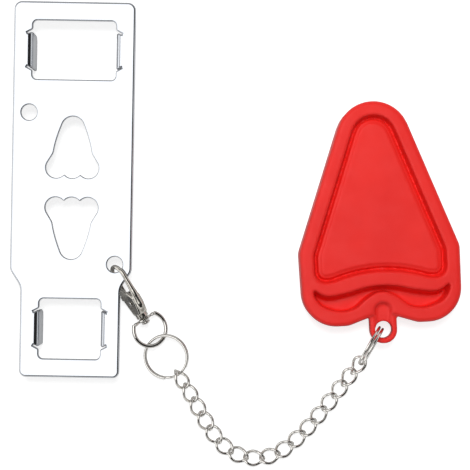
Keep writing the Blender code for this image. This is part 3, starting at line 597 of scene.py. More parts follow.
def stations(path, closed, across):
    """A frame at each point of a path: Z runs along the path, and X turns as little as it can or is given."""
    count = len(path)
    tangents = []
    for i in range(count):
        before = path[i - 1] if closed or i > 0 else path[i]
        after = path[(i + 1) % count] if closed or i < count - 1 else path[i]
        tangents.append((after - before).normalized())
    first = (across or tangents[0].orthogonal()).normalized()
    firsts = []
    for i, tangent in enumerate(tangents):
        if across:
            first = across
        elif i > 0:
            first = tangents[i - 1].rotation_difference(tangent) @ first
        first = (first - tangent * first.dot(tangent)).normalized()
        firsts.append(first)
    twist = 0.0
    if closed and not across:
        carried = tangents[-1].rotation_difference(tangents[0]) @ firsts[-1]
        twist = math.atan2(carried.cross(firsts[0]).dot(tangents[0]), carried.dot(firsts[0]))
    frames = []
    for i, tangent in enumerate(tangents):
        turned = Matrix.Rotation(twist * i / count, 3, tangent) @ firsts[i]
        frames.append(frame_of(path[i], turned, tangent.cross(turned)))
    return frames


def sweep(path, widths, sides, closed=False, across=None):
    """Carries a circle along a path, with one width for each point. An open sweep is capped."""
    bm = bmesh.new()
    places = stations(path, closed, across)
    frames = [place @ Matrix.Scale(width / 2, 4) for place, width in zip(places, widths)]
    ring = bmesh.ops.create_circle(bm, segments=sides, radius=1.0, cap_ends=False)["verts"]
    bmesh.ops.transform(bm, matrix=frames[0], verts=ring)
    start = edges = bm.edges[:]
    for before, after in zip(frames, frames[1:]):
        made = bmesh.ops.extrude_edge_only(bm, edges=edges)
        ring = set(new_parts(made, bmesh.types.BMVert))
        edges = [e for e in new_parts(made, bmesh.types.BMEdge) if all(v in ring for v in e.verts)]
        bmesh.ops.transform(bm, matrix=after @ before.inverted(), verts=list(ring))
    if closed:
        bmesh.ops.bridge_loops(bm, edges=start + edges)
    else:
        bmesh.ops.holes_fill(bm, edges=start + edges, sides=0)
    faces_out(bm)
    return bm


def rounded_ends(path, widths, reach):
    """Adds short tapering stations at both ends of an open path, so that its cut ends are softly rounded."""
    head = (path[0] - path[1]).normalized()
    tail = (path[-1] - path[-2]).normalized()
    angles = [math.radians(a) for a in (30, 60, 90)]
    lengths = [reach * math.sin(a) for a in angles]
    shares = [1 - reach / widths[0] * 2 * (1 - math.cos(a)) for a in angles]
    front = [path[0] + head * length for length in reversed(lengths)]
    back = [path[-1] + tail * length for length in lengths]
    front_widths = [widths[0] * share for share in reversed(shares)]
    return front + path + back, front_widths + widths + [widths[-1] * share for share in shares]


def new_object(name, bm):
    mesh = bpy.data.meshes.new(name)
    bm.to_mesh(mesh)
    bm.free()
    obj = bpy.data.objects.new(name, mesh)
    bpy.context.scene.collection.objects.link(obj)
    return obj


def baked(obj):
    """The object's mesh with its modifiers applied, as a new mesh."""
    bpy.context.view_layer.update()
    shown = obj.evaluated_get(bpy.context.evaluated_depsgraph_get())
    return bpy.data.meshes.new_from_object(shown)


def softened(name, base, steps, voxel, passes):
    """Joins and cuts solids, then rounds every edge by a fine grid and a few passes of smoothing."""
    obj = new_object(name, base)
    helpers = []
    for number, (operation, shape) in enumerate(steps):
        helper = new_object(f"{name}_shape_{number}", shape)
        helper.hide_render = True
        helpers.append(helper)
        modifier = obj.modifiers.new(helper.name, "BOOLEAN")
        modifier.operation = operation
        modifier.solver = "EXACT"
        modifier.object = helper
    grid = obj.modifiers.new("grid", "REMESH")
    grid.mode = "VOXEL"
    grid.voxel_size = voxel
    soft = obj.modifiers.new("soft", "SMOOTH")
    soft.factor = 0.5
    soft.iterations = passes
    mesh = baked(obj)
    for made in helpers + [obj]:
        bpy.data.objects.remove(made)
    if not mesh.polygons:
        raise RuntimeError(f"{name} came out empty")
    bm = bmesh.new()
    bm.from_mesh(mesh)
    bpy.data.meshes.remove(mesh)
    return bm


def finish_piece(name, bm, placing, material, body, node, sharp=None):
    """Puts a shape where its node is, with its material, its body and the node that it stands for."""
    bmesh.ops.transform(bm, matrix=placing, verts=bm.verts[:])
    obj = new_object(name, bm)
    obj.data.shade_smooth()
    if sharp:
        obj.data.set_sharp_from_angle(angle=math.radians(sharp))
    obj.data.materials.append(material)
    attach(obj, body)
    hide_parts(node)
    return obj


def add_node(tree, kind, inputs=None, **settings):
    """Adds one shader node with its settings. An input is a value, or the socket that feeds it."""
    node = tree.nodes.new(kind)
    for name, value in settings.items():
        setattr(node, name, value)
    for name, value in (inputs or {}).items():
        if isinstance(value, bpy.types.NodeSocket):
            tree.links.new(value, node.inputs[name])
        else:
            node.inputs[name].default_value = value
    return node


def new_material(name, colour, metallic, ior=None):
    """A material with one Principled shader, returned with its node tree, shader and Object coordinates."""
    material = bpy.data.materials.new(name)
    material.use_nodes = True
    tree = material.node_tree
    shader = tree.nodes["Principled BSDF"]
    shader.inputs["Base Color"].default_value = (*colour, 1.0)
    shader.inputs["Metallic"].default_value = metallic
    if ior:
        shader.inputs["IOR"].default_value = ior
    place = add_node(tree, "ShaderNodeTexCoord").outputs["Object"]
    return material, tree, shader, place


def patchy_gloss(tree, shader, place, scale, detail, low, high, span=(0.3, 0.7)):
    """Lets the roughness wander in patches between two values."""
    cloud = add_node(tree, "ShaderNodeTexNoise", {"Vector": place, "Scale": scale, "Detail": detail})
    rough = add_node(tree, "ShaderNodeMapRange", {"Value": cloud.outputs["Fac"], "From Min": span[0],
                                                  "From Max": span[1], "To Min": low, "To Max": high})
    tree.links.new(rough.outputs["Result"], shader.inputs["Roughness"])


def grained(tree, shader, place, scale, detail, strength, depth):
    """Gives the surface a fine grain."""
    grain = add_node(tree, "ShaderNodeTexNoise", {"Vector": place, "Scale": scale, "Detail": detail})
    bump = add_node(tree, "ShaderNodeBump", {"Height": grain.outputs["Fac"], "Strength": strength,
                                             "Distance": depth})
    tree.links.new(bump.outputs["Normal"], shader.inputs["Normal"])


def polished_stainless(colour):
    """Stainless sheet, ground and then buffed: near a mirror, with fine grinding lines along its length."""
    material, tree, shader, place = new_material("polished_stainless", colour, 1.0)
    # Buffing leaves cloudy patches of about 12 mm
    patchy_gloss(tree, shader, place, 80.0, 2.0, 0.07, 0.13)
    # Grinding lines are about 0.05 mm apart, drawn at 0.25 mm so that they show
    along = add_node(tree, "ShaderNodeMapping", {"Vector": place, "Scale": (4000.0, 160.0, 4000.0)})
    grained(tree, shader, along.outputs[0], 1.0, 3.0, 0.04, 0.00002)
    return material


def bright_nickel(colour):
    """Steel wire, drawn and plated with bright nickel: warm and mirror bright, with faint drawing marks."""
    material, tree, shader, place = new_material("bright_nickel", colour, 1.0)
    # Plating thickens and thins over about 2 mm
    patchy_gloss(tree, shader, place, 500.0, 3.0, 0.05, 0.12)
    # Drawing and tumbling marks of about 0.3 mm
    grained(tree, shader, place, 3200.0, 2.0, 0.06, 0.00003)
    return material


def plated_casting(colour):
    """Zinc, die cast, tumbled and nickel plated: satin, with the casting's soft pits still in it."""
    material, tree, shader, place = new_material("plated_casting", colour, 1.0)
    # Tumbling leaves the hollows duller than the high spots, in patches of about 1.5 mm
    patchy_gloss(tree, shader, place, 650.0, 4.0, 0.12, 0.24)
    # Casting grain of about 0.25 mm
    grained(tree, shader, place, 4000.0, 3.0, 0.12, 0.00005)
    return material


def drawn_spring_steel():
    """Spring wire as drawn, oiled and unplated: grey and half matt."""
    material, tree, shader, place = new_material("drawn_spring_steel", linear("#B9B9BA"), 1.0)
    # Drawing marks of about 0.2 mm
    patchy_gloss(tree, shader, place, 5000.0, 2.0, 0.22, 0.38, (0.0, 1.0))
    return material


def moulded_plastic(colour, deep_colour):
    """ABS, injection moulded in a spark eroded tool: an even red with a soft gloss and a very fine grain."""
    material, tree, shader, place = new_material("moulded_abs", colour, 0.0, 1.54)
    # Pigment flow varies over about 20 mm
    flow = add_node(tree, "ShaderNodeTexNoise", {"Vector": place, "Scale": 50.0, "Detail": 3.0})
    blend = add_node(tree, "ShaderNodeMapRange", {"Value": flow.outputs["Fac"], "From Min": 0.35,
                                                  "From Max": 0.65})
    tint = add_node(tree, "ShaderNodeMix", {0: blend.outputs["Result"], 6: (*colour, 1.0),
                                            7: (*deep_colour, 1.0)}, data_type="RGBA")
    tree.links.new(tint.outputs[2], shader.inputs["Base Color"])
    # Handling polishes patches of about 6 mm
    patchy_gloss(tree, shader, place, 160.0, 4.0, 0.36, 0.46)
    # Spark erosion grain is about 0.1 mm, drawn at 0.3 mm so that it shows
    grained(tree, shader, place, 3300.0, 2.0, 0.15, 0.00005)
    return material


def studio_paper(colour):
    """White background paper: matt, and seen by the camera and in metal as plain white under its shadow."""
    material, tree, shader, place = new_material("studio_paper", colour, 0.0)
    shader.inputs["Roughness"].default_value = 0.9
    shader.inputs["Specular IOR Level"].default_value = 0.0
    # Paper fibre of about 1 mm
    grained(tree, shader, place, 1000.0, 2.0, 0.05, 0.00005)
    rays = add_node(tree, "ShaderNodeLightPath").outputs
    seen = add_node(tree, "ShaderNodeMath", {0: rays["Is Glossy Ray"], 1: rays["Is Transmission Ray"]},
                    operation="MAXIMUM")
    mirrored = add_node(tree, "ShaderNodeMath", {0: seen.outputs[0], 1: MIRRORED_PAPER_LIFT},
                        operation="MULTIPLY")
    lift = add_node(tree, "ShaderNodeMath", {0: rays["Is Camera Ray"], 1: PAPER_LIFT, 2: mirrored.outputs[0]},
                    operation="MULTIPLY_ADD")
    shader.inputs["Emission Color"].default_value = (1.0, 1.0, 1.0, 1.0)
    tree.links.new(lift.outputs[0], shader.inputs["Emission Strength"])
    return material


def claw_root(bm, root, middle):
    """The narrow face at the side of a window from which a claw is bent."""
    for face in bm.faces:
        spot = face.calc_center_median()
        if (abs(spot.x - root) < SAME_PLACE and abs(spot.y - middle) < OVERRUN
                and abs(face.normal.x) > CLAW_ROOT_FACING):
            return face
    raise RuntimeError("a claw root is missing")


def bend_claw(bm, settings, root, middle):
    """Bends the sheet down at a window's side, carries it on to the floor and rounds the claw's corners."""
    side = math.copysign(1.0, root)
    claw = settings.claw_width / 2
    face = claw_root(bm, root, middle)
    hinge = Vector((root, 0.0, settings.claw_depth - BEND_INNER_RADIUS))
    turn = Matrix.Rotation(math.radians(-side * 90.0 / CLAW_BEND_STEPS), 3, "Y")
    for i in range(CLAW_BEND_STEPS):
        face = bmesh.ops.extrude_discrete_faces(bm, faces=[face])["faces"][0]
        bmesh.ops.rotate(bm, cent=hinge, matrix=turn, verts=face.verts[:])
        wide = claw - CLAW_ROOT_INSET * (1 - min(1.0, (i + 1) / CLAW_BEND_STEPS / CLAW_FULL_AT))
        for vert in face.verts:
            vert.co.y = middle + math.copysign(wide, vert.co.y - middle)
    face = bmesh.ops.extrude_discrete_faces(bm, faces=[face])["faces"][0]
    bmesh.ops.translate(bm, vec=(0.0, 0.0, BEND_INNER_RADIUS - settings.claw_depth), verts=face.verts[:])
    reach = settings.sheet + BEND_INNER_RADIUS
    for place, radius in ((middle - claw, CLAW_HEEL_RADIUS), (middle + claw, CLAW_TIP_RADIUS)):
        corner = [e for e in bm.edges if all(abs(v.co.y - place) < SAME_PLACE and v.co.z < SAME_PLACE
                                             and abs(v.co.x - root) < reach + SAME_PLACE for v in e.verts)]
        round_edges(bm, corner, radius, CLAW_CORNER_STEPS)


def pen_line(bm, vert, x, y):
    """Draws a line from a vertex and returns the one at its end."""
    end = bmesh.ops.extrude_vert_indiv(bm, verts=[vert])["verts"][0]
    end.co.xy = (x, y)
    return end


def pen_arc(bm, vert, centre, degrees):
    """Draws an arc from a vertex about a centre and returns the vertex at its end."""
    steps = max(2, math.ceil(abs(degrees) / ARC_STEP))
    made = bmesh.ops.spin(bm, geom=[vert], cent=(*centre, vert.co.z), axis=UP, angle=math.radians(degrees),
                          steps=steps, use_merge=False)
    return [part for part in made["geom_last"] if isinstance(part, bmesh.types.BMVert)][0]


def draw_bell(bm, base, direction, height):
    """A bell-shaped hole's outline: three lobes at its wide end and a round tip."""
    part = bmesh.new()
    lobe = BELL_LOBE_RADIUS
    cusp = math.degrees(math.acos(BELL_LOBE_SPACING / 2 / lobe))
    tip = Vector((0.0, BELL_LENGTH - BELL_TIP_RADIUS, height))
    pen = part.verts.new((0.0, 0.0, height))
    pen = pen_arc(part, pen, (0.0, lobe), 90.0 - cusp)
    pen = pen_arc(part, pen, (BELL_LOBE_SPACING, lobe), 180.0 - cusp + BELL_FLARE)
    touch = tip + on_circle(BELL_TIP_RADIUS, math.radians(BELL_TIP_FLARE))
    kink = Vector((*BELL_KINK, height))
    swell = Vector((*BELL_SIDE, height))
    near = kink + (pen.co - kink).normalized() * BELL_KINK_ROUND
    far = kink + (swell - kink).normalized() * BELL_KINK_ROUND
    for start, corner, end in ((near, kink, far), (far, swell, touch)):
        for point in interpolate_bezier(start, start.lerp(corner, 2 / 3), end.lerp(corner, 2 / 3), end,
                                        BELL_CURVE_POINTS):
            if (point - pen.co).length > SAME_PLACE:
                pen = pen_line(part, pen, point.x, point.y)
    pen_arc(part, pen, tip.xy, 90.0 - BELL_TIP_FLARE)
    bmesh.ops.mirror(part, geom=part.verts[:] + part.edges[:], matrix=Matrix.Identity(4),
                     merge_dist=SAME_PLACE, axis="X")
    bmesh.ops.remove_doubles(part, verts=part.verts[:], dist=SAME_PLACE)
    bmesh.ops.scale(part, vec=(1.0, direction, 1.0), verts=part.verts[:])
    move(part, (0.0, base, 0.0))
    mesh = bpy.data.meshes.new("bell")
    part.to_mesh(mesh)
    part.free()
    bm.from_mesh(mesh)
    bpy.data.meshes.remove(mesh)


def window_corners(settings, size, centre):
    """A window with a claw root at its left and right, between two slanted relief cuts."""
    side = size[0] / 2
    root = side + BEND_INNER_RADIUS + settings.sheet
    claw = settings.claw_width / 2
    relief = claw + RELIEF_WIDTH
    slit = claw - CLAW_ROOT_INSET
    quarter = [(root, slit, 0.0), (root, slit + SLIT_WIDTH, 0.0), (side, relief, 0.0),
               (side, size[1] / 2, WINDOW_CORNER_RADIUS)]
    upper = quarter + mirrored(quarter)
    return [(x, y + centre, r) for x, y, r in upper + [(-x, -y, r) for x, y, r in upper]]


def plate_corners(settings):
    head = settings.width / 2
    foot = FOOT_WIDTH / 2
    top = settings.length / 2
    right = [(foot, -top, FOOT_CORNER_RADIUS), (foot, FOOT_LENGTH - top, WAIST_INNER_RADIUS),
             (head, FOOT_LENGTH + WAIST_LENGTH - top, WAIST_OUTER_RADIUS), (head, top, HEAD_CORNER_RADIUS)]
    return right + mirrored(right)


def sharp_rims(bm, kind, number):
    """The edges between a flat side and a cut, round the holes, the windows or the outside."""
    return [e for e in bm.edges if e.is_manifold and e.calc_face_angle() > math.radians(RIM_ANGLE)
            and all(v[kind] == number for v in e.verts)]


def plate_outlines(bm, settings, windows):
    """Draws the sheet's outlines. Returns the layer in which each vertex keeps the kind of its rim."""
    for side in (-1, 1):
        along = PATTERN_RISE - side * (settings.length / 2 - ROUND_HOLE_END)
        place = Vector((side * ROUND_HOLE_SPREAD / 2, along, settings.claw_depth))
        bmesh.ops.create_circle(bm, segments=ROUND_HOLE_SIDES, radius=settings.round_hole / 2, cap_ends=False,
                                matrix=Matrix.Translation(place))
    for direction in (1, -1):
        draw_bell(bm, BELL_RISE + direction * BELL_GAP / 2, direction, settings.claw_depth)
    kind = bm.verts.layers.int.new("rim_kind")
    outlines = {"hole": [], "window": [window_corners(settings, *window) for window in windows],
                "outside": [plate_corners(settings)]}
    for rim, number in RIM_KINDS.items():
        for corners in outlines[rim]:
            outline_face(bm, corners, settings.claw_depth)
        for vert in bm.verts:
            vert[kind] = vert[kind] or number
    return kind


def plate_shape(settings):
    """The sheet with its windows and holes, its four claws bent from it, and every edge rounded."""
    bm = bmesh.new()
    middle = settings.length / 2 - WINDOW_END
    windows = ((WIDE_WINDOW, middle), (NARROW_WINDOW, -middle))
    kind = plate_outlines(bm, settings, windows)
    bmesh.ops.delete(bm, geom=bm.faces[:], context="FACES_ONLY")
    bmesh.ops.triangle_fill(bm, use_beauty=True, edges=bm.edges[:])
    raise_faces(bm, bm.faces[:], settings.sheet)
    faces_out(bm)
    for size, centre in windows:
        root = size[0] / 2 + BEND_INNER_RADIUS + settings.sheet
        for side in (1, -1):
            bend_claw(bm, settings, side * root, centre)
    flat = [e for e in bm.edges if e.is_manifold and e.calc_face_angle() < math.radians(FLAT_ANGLE)]
    bmesh.ops.dissolve_limit(bm, angle_limit=math.radians(FLAT_ANGLE), verts=[], edges=flat)
    for rim, radius, steps in (("hole", settings.hole_round, EDGE_STEPS),
                               ("window", settings.window_round, WINDOW_STEPS)):
        round_edges(bm, sharp_rims(bm, kind, RIM_KINDS[rim]), radius, steps, clamp=False)
    # Outside, the lower rims come first, and the upper ones are gathered again after them
    low = [e for e in sharp_rims(bm, kind, RIM_KINDS["outside"])
           if e.verts[0].co.z < settings.claw_depth + SAME_PLACE]
    round_edges(bm, low, LOWER_EDGE_ROUND, EDGE_STEPS, clamp=False)
    top = set(rims_at(bm, settings.claw_depth + settings.sheet))
    high = [e for e in sharp_rims(bm, kind, RIM_KINDS["outside"]) if e in top]
    round_edges(bm, high, settings.edge_round, OUTSIDE_STEPS, clamp=False)
    faces_out(bm)
    return bm


def hook_path(settings):
    """The middle line of the spine and the hook, with its thickness at each point."""
    centre = Vector((HOOK_REACH - HOOK_BEND_RADIUS, SPINE_OFFSET - HOOK_BEND_RADIUS, 0.0))
    shares = [i / SPINE_POINTS for i in range(SPINE_POINTS)]
    along = [between(SPINE_ROOT, BODY_FRONT, i / ROOT_POINTS) for i in range(ROOT_POINTS)]
    along += [between(BODY_FRONT, centre.x, share) for share in shares]
    path = [Vector((x, SPINE_OFFSET, 0.0)) for x in along]
    widths = [settings.spine_wire] * ROOT_POINTS
    widths += [between(settings.spine_wire, settings.hook_wire, eased(share)) for share in shares]
    steps = math.ceil(HOOK_TIP_TURN / ARC_STEP)
    for i in range(steps + 1):
        path.append(centre + on_circle(HOOK_BEND_RADIUS, math.radians(90.0 - HOOK_TIP_TURN * i / steps)))
        widths.append(between(settings.hook_wire, settings.tip_wire, i / steps))
    return path, widths


def back_line(settings):
    """The middle line of the body's round back, from the collar to the spine, with its thicknesses."""
    high = SPINE_OFFSET + settings.spine_wire / 2
    root = Vector((COLLAR_LENGTH, BODY_ROOT_HALF_WIDTH - BACK_ROOT / 2, 0.0))
    bend = Vector((SPINE_ROOT, high - BACK_WIDE / 2, 0.0))
    front = Vector((BACK_FRONT, SPINE_OFFSET, 0.0))
    ahead = Vector(((front.x - bend.x) / 3, 0.0, 0.0))
    path = interpolate_bezier(root, root.lerp(bend, 2 / 3), bend - ahead, bend, BACK_POINTS)[:-1]
    path += interpolate_bezier(bend, bend + ahead, front - ahead, front, BACK_POINTS)
    shares = [i / (BACK_POINTS - 1) for i in range(BACK_POINTS)]
    widths = [between(BACK_ROOT, BACK_WIDE, share) for share in shares[:-1]]
    return path, widths + [between(BACK_WIDE, settings.spine_wire, share) for share in shares]


def clasp_shape(settings):
    """The cast body: slot, cheeks, collar, spine and hook."""
    high = SPINE_OFFSET + settings.spine_wire / 2 - BACK_RISE
    half = settings.body_thickness / 2
    body = slab([
        (BODY_ROOT, -BODY_ROOT_HALF_WIDTH, BODY_CORNER_RADIUS),
        (BODY_HEEL, -BODY_LOW_SIDE, BODY_BEND_RADIUS),
        (BODY_MOUTH[0], -BODY_LOW_SIDE, MOUTH_CORNER_RADIUS),
        (BODY_MOUTH[1], BODY_MOUTH_DEPTH - BODY_LOW_SIDE, MOUTH_CORNER_RADIUS),
        (BODY_FRONT, high - TOUCH_GAP, BODY_CORNER_RADIUS),
        (SPINE_ROOT, high - TOUCH_GAP, BODY_BEND_RADIUS),
        (BODY_ROOT, BODY_ROOT_HALF_WIDTH, BODY_CORNER_RADIUS),
    ], -half, half, BODY_EDGE_RADIUS, BODY_EDGE_RADIUS)
    hook = sweep(*rounded_ends(*hook_path(settings), HOOK_TIP_ROUND), FINE_WIRE_SIDES, across=UP)
    back = sweep(*back_line(settings), FINE_WIRE_SIDES, across=UP)
    slot = block((SLOT_BACK, -BODY_LOW_SIDE - OVERRUN * 2, -SLOT_WIDTH / 2),
                 (BODY_MOUTH[1] + OVERRUN, SLOT_FLOOR, SLOT_WIDTH / 2))
    far_front = block((FAR_CHEEK_END, -BODY_LOW_SIDE - OVERRUN, 0.0),
                      (BODY_MOUTH[1] + OVERRUN, high + OVERRUN, half + OVERRUN))
    pin_bore = rod(PIN_DIAMETER + 2 * PIN_CLEARANCE, -half - OVERRUN, half + OVERRUN,
                   centre=(*GATE_PIVOT, 0.0))
    collar = rod(COLLAR_DIAMETER, 0.0, COLLAR_LENGTH, "X")
    rivet_bore = rod(RIVET_DIAMETER + 2 * TOUCH_GAP, -OVERRUN, RIVET_DEPTH + TOUCH_GAP, "X")
    return softened("clasp_cast", body, [
        (CUT, slot), (CUT, far_front), (CUT, pin_bore), (JOIN, back), (JOIN, hook), (JOIN, collar),
        (CUT, rivet_bore),
    ], settings.voxel, CAST_SMOOTHING)


def lever_shape(settings):
    """The gate: an eye on the pin, a thumb nub, and a bar that ends at the hook's tip."""
    pivot_x, pivot_y = GATE_PIVOT
    low = GATE_LINE - GATE_BAR / 2 - pivot_y
    high = GATE_LINE + GATE_BAR / 2 - pivot_y
    start = THUMB_START - pivot_x
    end = THUMB_START + THUMB_WIDTH - pivot_x
    foot = -THUMB_REACH - pivot_y
    back = GATE_BACK - pivot_y
    seat = [x - pivot_x for x in SPRING_SEAT]
    tip = GATE_LENGTH - pivot_x
    bar = [(start - GATE_BAR, low), (start, foot), (end, foot), (end, low), (tip, low), (tip, high),
           (seat[1], high), (seat[1], back), (seat[0], back)]
    boss = [(side * GATE_BOSS_RADIUS, GATE_BOSS_RADIUS, GATE_BOSS_ROUND) for side in (1, -1)]
    lever = slab([(-GATE_BOSS_RADIUS, -GATE_BOSS_RADIUS, GATE_BOSS_ROUND)]
                 + [(x, y, GATE_CORNER_RADIUS) for x, y in bar] + boss,
                 -GATE_THICKNESS / 2, GATE_THICKNESS / 2, GATE_EDGE_RADIUS, GATE_EDGE_RADIUS, GATE_EDGE_STEPS)
    pad_top = PAD_THICKNESS - THUMB_REACH - pivot_y
    nub = ((start, foot), (end, foot), (end, pad_top), (start, pad_top))
    pad = slab([(x, y, GATE_CORNER_RADIUS) for x, y in nub], -PAD_WIDTH / 2, PAD_WIDTH / 2,
               GATE_EDGE_RADIUS, GATE_EDGE_RADIUS, GATE_EDGE_STEPS)
    bore = rod(PIN_DIAMETER + 2 * PIN_CLEARANCE, -settings.body_thickness, settings.body_thickness)
    return softened("lever_cast", lever, [(JOIN, pad), (CUT, bore)], settings.voxel * LEVER_VOXEL_SHARE,
                    LEVER_SMOOTHING)


def dome(base, top, radius):
    """Points of a low domed head from its edge to its middle, as (along, radius)."""
    angles = [math.radians(90.0 * i / DOME_STEPS) for i in range(DOME_STEPS)]
    return [(between(base, top, math.sin(a)), radius * math.cos(a)) for a in angles] + [(top, 0.0)]


def pin_shape(settings):
    """The rivet that the gate turns on, with a low domed head on each cheek."""
    head = settings.body_thickness / 2 + TOUCH_GAP
    radius = PIN_HEAD_DIAMETER / 2
    upper = [(head, PIN_DIAMETER / 2), (head, radius)] + dome(head, head + PIN_HEAD_HEIGHT, radius)[1:]
    lower = [(-a, r) for a, r in reversed(upper)]
    return lathe(lower + upper, "Z", PIN_SIDES)


def spring_shape():
    """The small coil in the slot that pushes the gate shut. Y runs from the lever to the slot's floor."""
    low = GATE_BACK + SPRING_GAP + SPRING_WIRE / 2
    high = SLOT_FLOOR - SPRING_GAP - SPRING_WIRE / 2
    radius = (SPRING_DIAMETER - SPRING_WIRE) / 2
    steps = SPRING_TURNS * SPRING_TURN_POINTS
    path = []
    for i in range(steps + 1):
        spot = on_circle(radius, math.tau * SPRING_TURNS * i / steps, between(low, high, i / steps))
        path.append(spot.xzy)
    return sweep(path, [SPRING_WIRE] * len(path), SPRING_SIDES)


def stud_shape():
    """The swivel's headed rivet."""
    low = -HUB_THICKNESS - 2 * TOUCH_GAP
    radius = RIVET_HEAD_DIAMETER / 2
    rim = RIVET_HEAD_HEIGHT * RIVET_RIM_SHARE
    shank = RIVET_DIAMETER / 2
    profile = [(RIVET_DEPTH, 0.0), (RIVET_DEPTH, shank), (low, shank), (low, radius)]
    return lathe(profile + dome(low - rim, low - RIVET_HEAD_HEIGHT, radius), "X", RIVET_SIDES)


def swivel_shape(settings, voxel):
    """A ring of round wire that ends in a flat hub."""
    middle = -TOUCH_GAP - HUB_THICKNESS / 2
    centre = Vector((middle - SWIVEL_CHORD, 0.0, 0.0))
    start = math.degrees(math.acos(SWIVEL_CHORD / settings.swivel_radius)) * SWIVEL_ROOT_SHARE
    angles = [between(start, 360.0 - start, i / SWIVEL_STEPS) for i in range(SWIVEL_STEPS + 1)]
    path = [centre + on_circle(settings.swivel_radius, math.radians(a)) for a in angles]
    ring = sweep(path, [settings.swivel_wire] * len(path), RING_SIDES, across=UP)
    half = [(share * HUB_LENGTH / 2, thick) for share, thick in HUB_SHARES]
    line = [(-y, thick) for y, thick in reversed(half)] + half[1:]
    hub = sweep([Vector((0.0, y, 0.0)) for y, _ in line], [thick for _, thick in line], RING_SIDES, across=UP)
    bmesh.ops.scale(hub, vec=(HUB_THICKNESS / HUB_WIDTH, 1.0, 1.0), verts=hub.verts[:])
    move(hub, (middle, 0.0, 0.0))
    bore = rod(RIVET_DIAMETER + 2 * TOUCH_GAP, -HUB_THICKNESS - OVERRUN, OVERRUN, "X")
    return softened("swivel_cast", ring, [(JOIN, hub), (CUT, bore)], voxel, CAST_SMOOTHING)


def split_ring_shape(settings, radius):
    """Two turns of wire side by side, joined by one crossover, with softly rounded cut ends."""
    start = SPLIT_CROSSOVER / 2 + SPLIT_END_GAP
    path = []
    for i in range(SPLIT_STEPS + 1):
        angle = between(start, 360.0 * SPLIT_TURNS - start, i / SPLIT_STEPS)
        part = min(1.0, max(0.0, (angle - 360.0) / SPLIT_CROSSOVER + 0.5))
        path.append(on_circle(radius, math.radians(angle), settings.split_pitch * (eased(part) - 0.5)))
    path, widths = rounded_ends(path, [settings.split_wire] * len(path), SPLIT_END_ROUND)
    return sweep(path, widths, SPLIT_SIDES, across=UP)


def link_shape(settings):
    """A twisted oval link of round wire, with the fine butt seam where its ends meet."""
    half_length = (settings.link_length - settings.link_wire) / 2
    half_width = (settings.link_width - settings.link_wire) / 2
    pitch = settings.link_length - 2 * settings.link_wire - LINK_PLAY
    seam = LINK_SEAM / half_length
    turns = [math.tau * i / LINK_POINTS for i in range(LINK_POINTS)]
    turns = sorted(turns + [math.pi / 2 + seam * k for k in (-2, -1, 1, 2)])
    path = []
    widths = []
    for turn in turns:
        twist = settings.link_twist / 2 * math.cos(turn)
        side = half_width * math.sin(turn)
        along = pitch / 2 + half_length * math.cos(turn)
        path.append(Vector((along, side * math.cos(twist), side * math.sin(twist))))
        near = abs(turn - math.pi / 2) < seam * LINK_SEAM_REACH
        widths.append(settings.link_wire * (LINK_SEAM_SHARE if near else 1.0))
    return sweep(path, widths, LINK_SIDES, closed=True)


def side_lean(settings):
    """The angle of the handle's straight sides from its long axis."""
    rise = settings.height - TIP_RADIUS - KINK_STATION
    length = math.hypot(rise, settings.half_width)
    return math.atan2(settings.half_width, rise) - math.asin(TIP_RADIUS / length)


def handle_corners(settings):
    half = settings.half_width
    peak = KINK_STATION + half / math.tan(side_lean(settings))
    right = [(half - LOBE_BOTTOM_INSET, LOBE_FOOT, LOBE_BOTTOM_RADIUS),
             (half - LOBE_CORNER_INSET, LOBE_FOOT, LOBE_CORNER_RADIUS), (half, KINK_STATION, KINK_RADIUS)]
    return [(0.0, VALLEY_STATION, VALLEY_RADIUS)] + right + [(0.0, peak, TIP_RADIUS)] + mirrored(right)


def recess_corners(settings):
    """The inner edge of the rim: it follows the sides and the tip, and its foot is arched."""
    lean = side_lean(settings)
    side = settings.half_width - RIM_WIDTH
    peak = KINK_STATION + settings.half_width / math.tan(lean) - RIM_WIDTH / math.sin(lean)
    arch_half = settings.half_width - RECESS_ARCH_INSET
    right = []
    for share in (i / ARCH_POINTS for i in range(1, ARCH_POINTS + 1)):
        rise = RECESS_ARCH * (1 - share * share + RECESS_ARCH_LIFT_SHARE)
        right.append((arch_half * share, RECESS_FOOT + rise, 0.0))
    right += [(side, RECESS_FOOT, RECESS_FOOT_RADIUS), (side, peak - side / math.tan(lean), KINK_RADIUS / 2)]
    corners = [(0.0, RECESS_FOOT + RECESS_ARCH * (1 + RECESS_ARCH_LIFT_SHARE), 0.0)] + right
    return corners + [(0.0, peak, TIP_RADIUS - RIM_WIDTH)] + mirrored(right)


def pocket_corners(settings):
    """The curved pocket below the panel: two drooping wings that meet over a hump."""
    foot = POCKET_TOP - POCKET_HEIGHT
    half = settings.half_width - POCKET_INSET
    right = [Vector((x * half, foot + y * POCKET_HEIGHT)) for x, y in POCKET_SHARES]
    knots = right + [Vector((0.0, POCKET_TOP))] + [Vector((-p.x, p.y)) for p in reversed(right[1:])]
    outline = []
    for i, knot in enumerate(knots):
        after = knots[(i + 1) % len(knots)]
        lead = (after - knots[i - 1]) / 6
        trail = (knots[(i + 2) % len(knots)] - knot) / 6
        handles = [p.to_3d() for p in (knot, knot + lead, after - trail, after)]
        outline += [(p.x, p.y, 0.0) for p in interpolate_bezier(*handles, POCKET_CURVE_POINTS)[:-1]]
    return outline


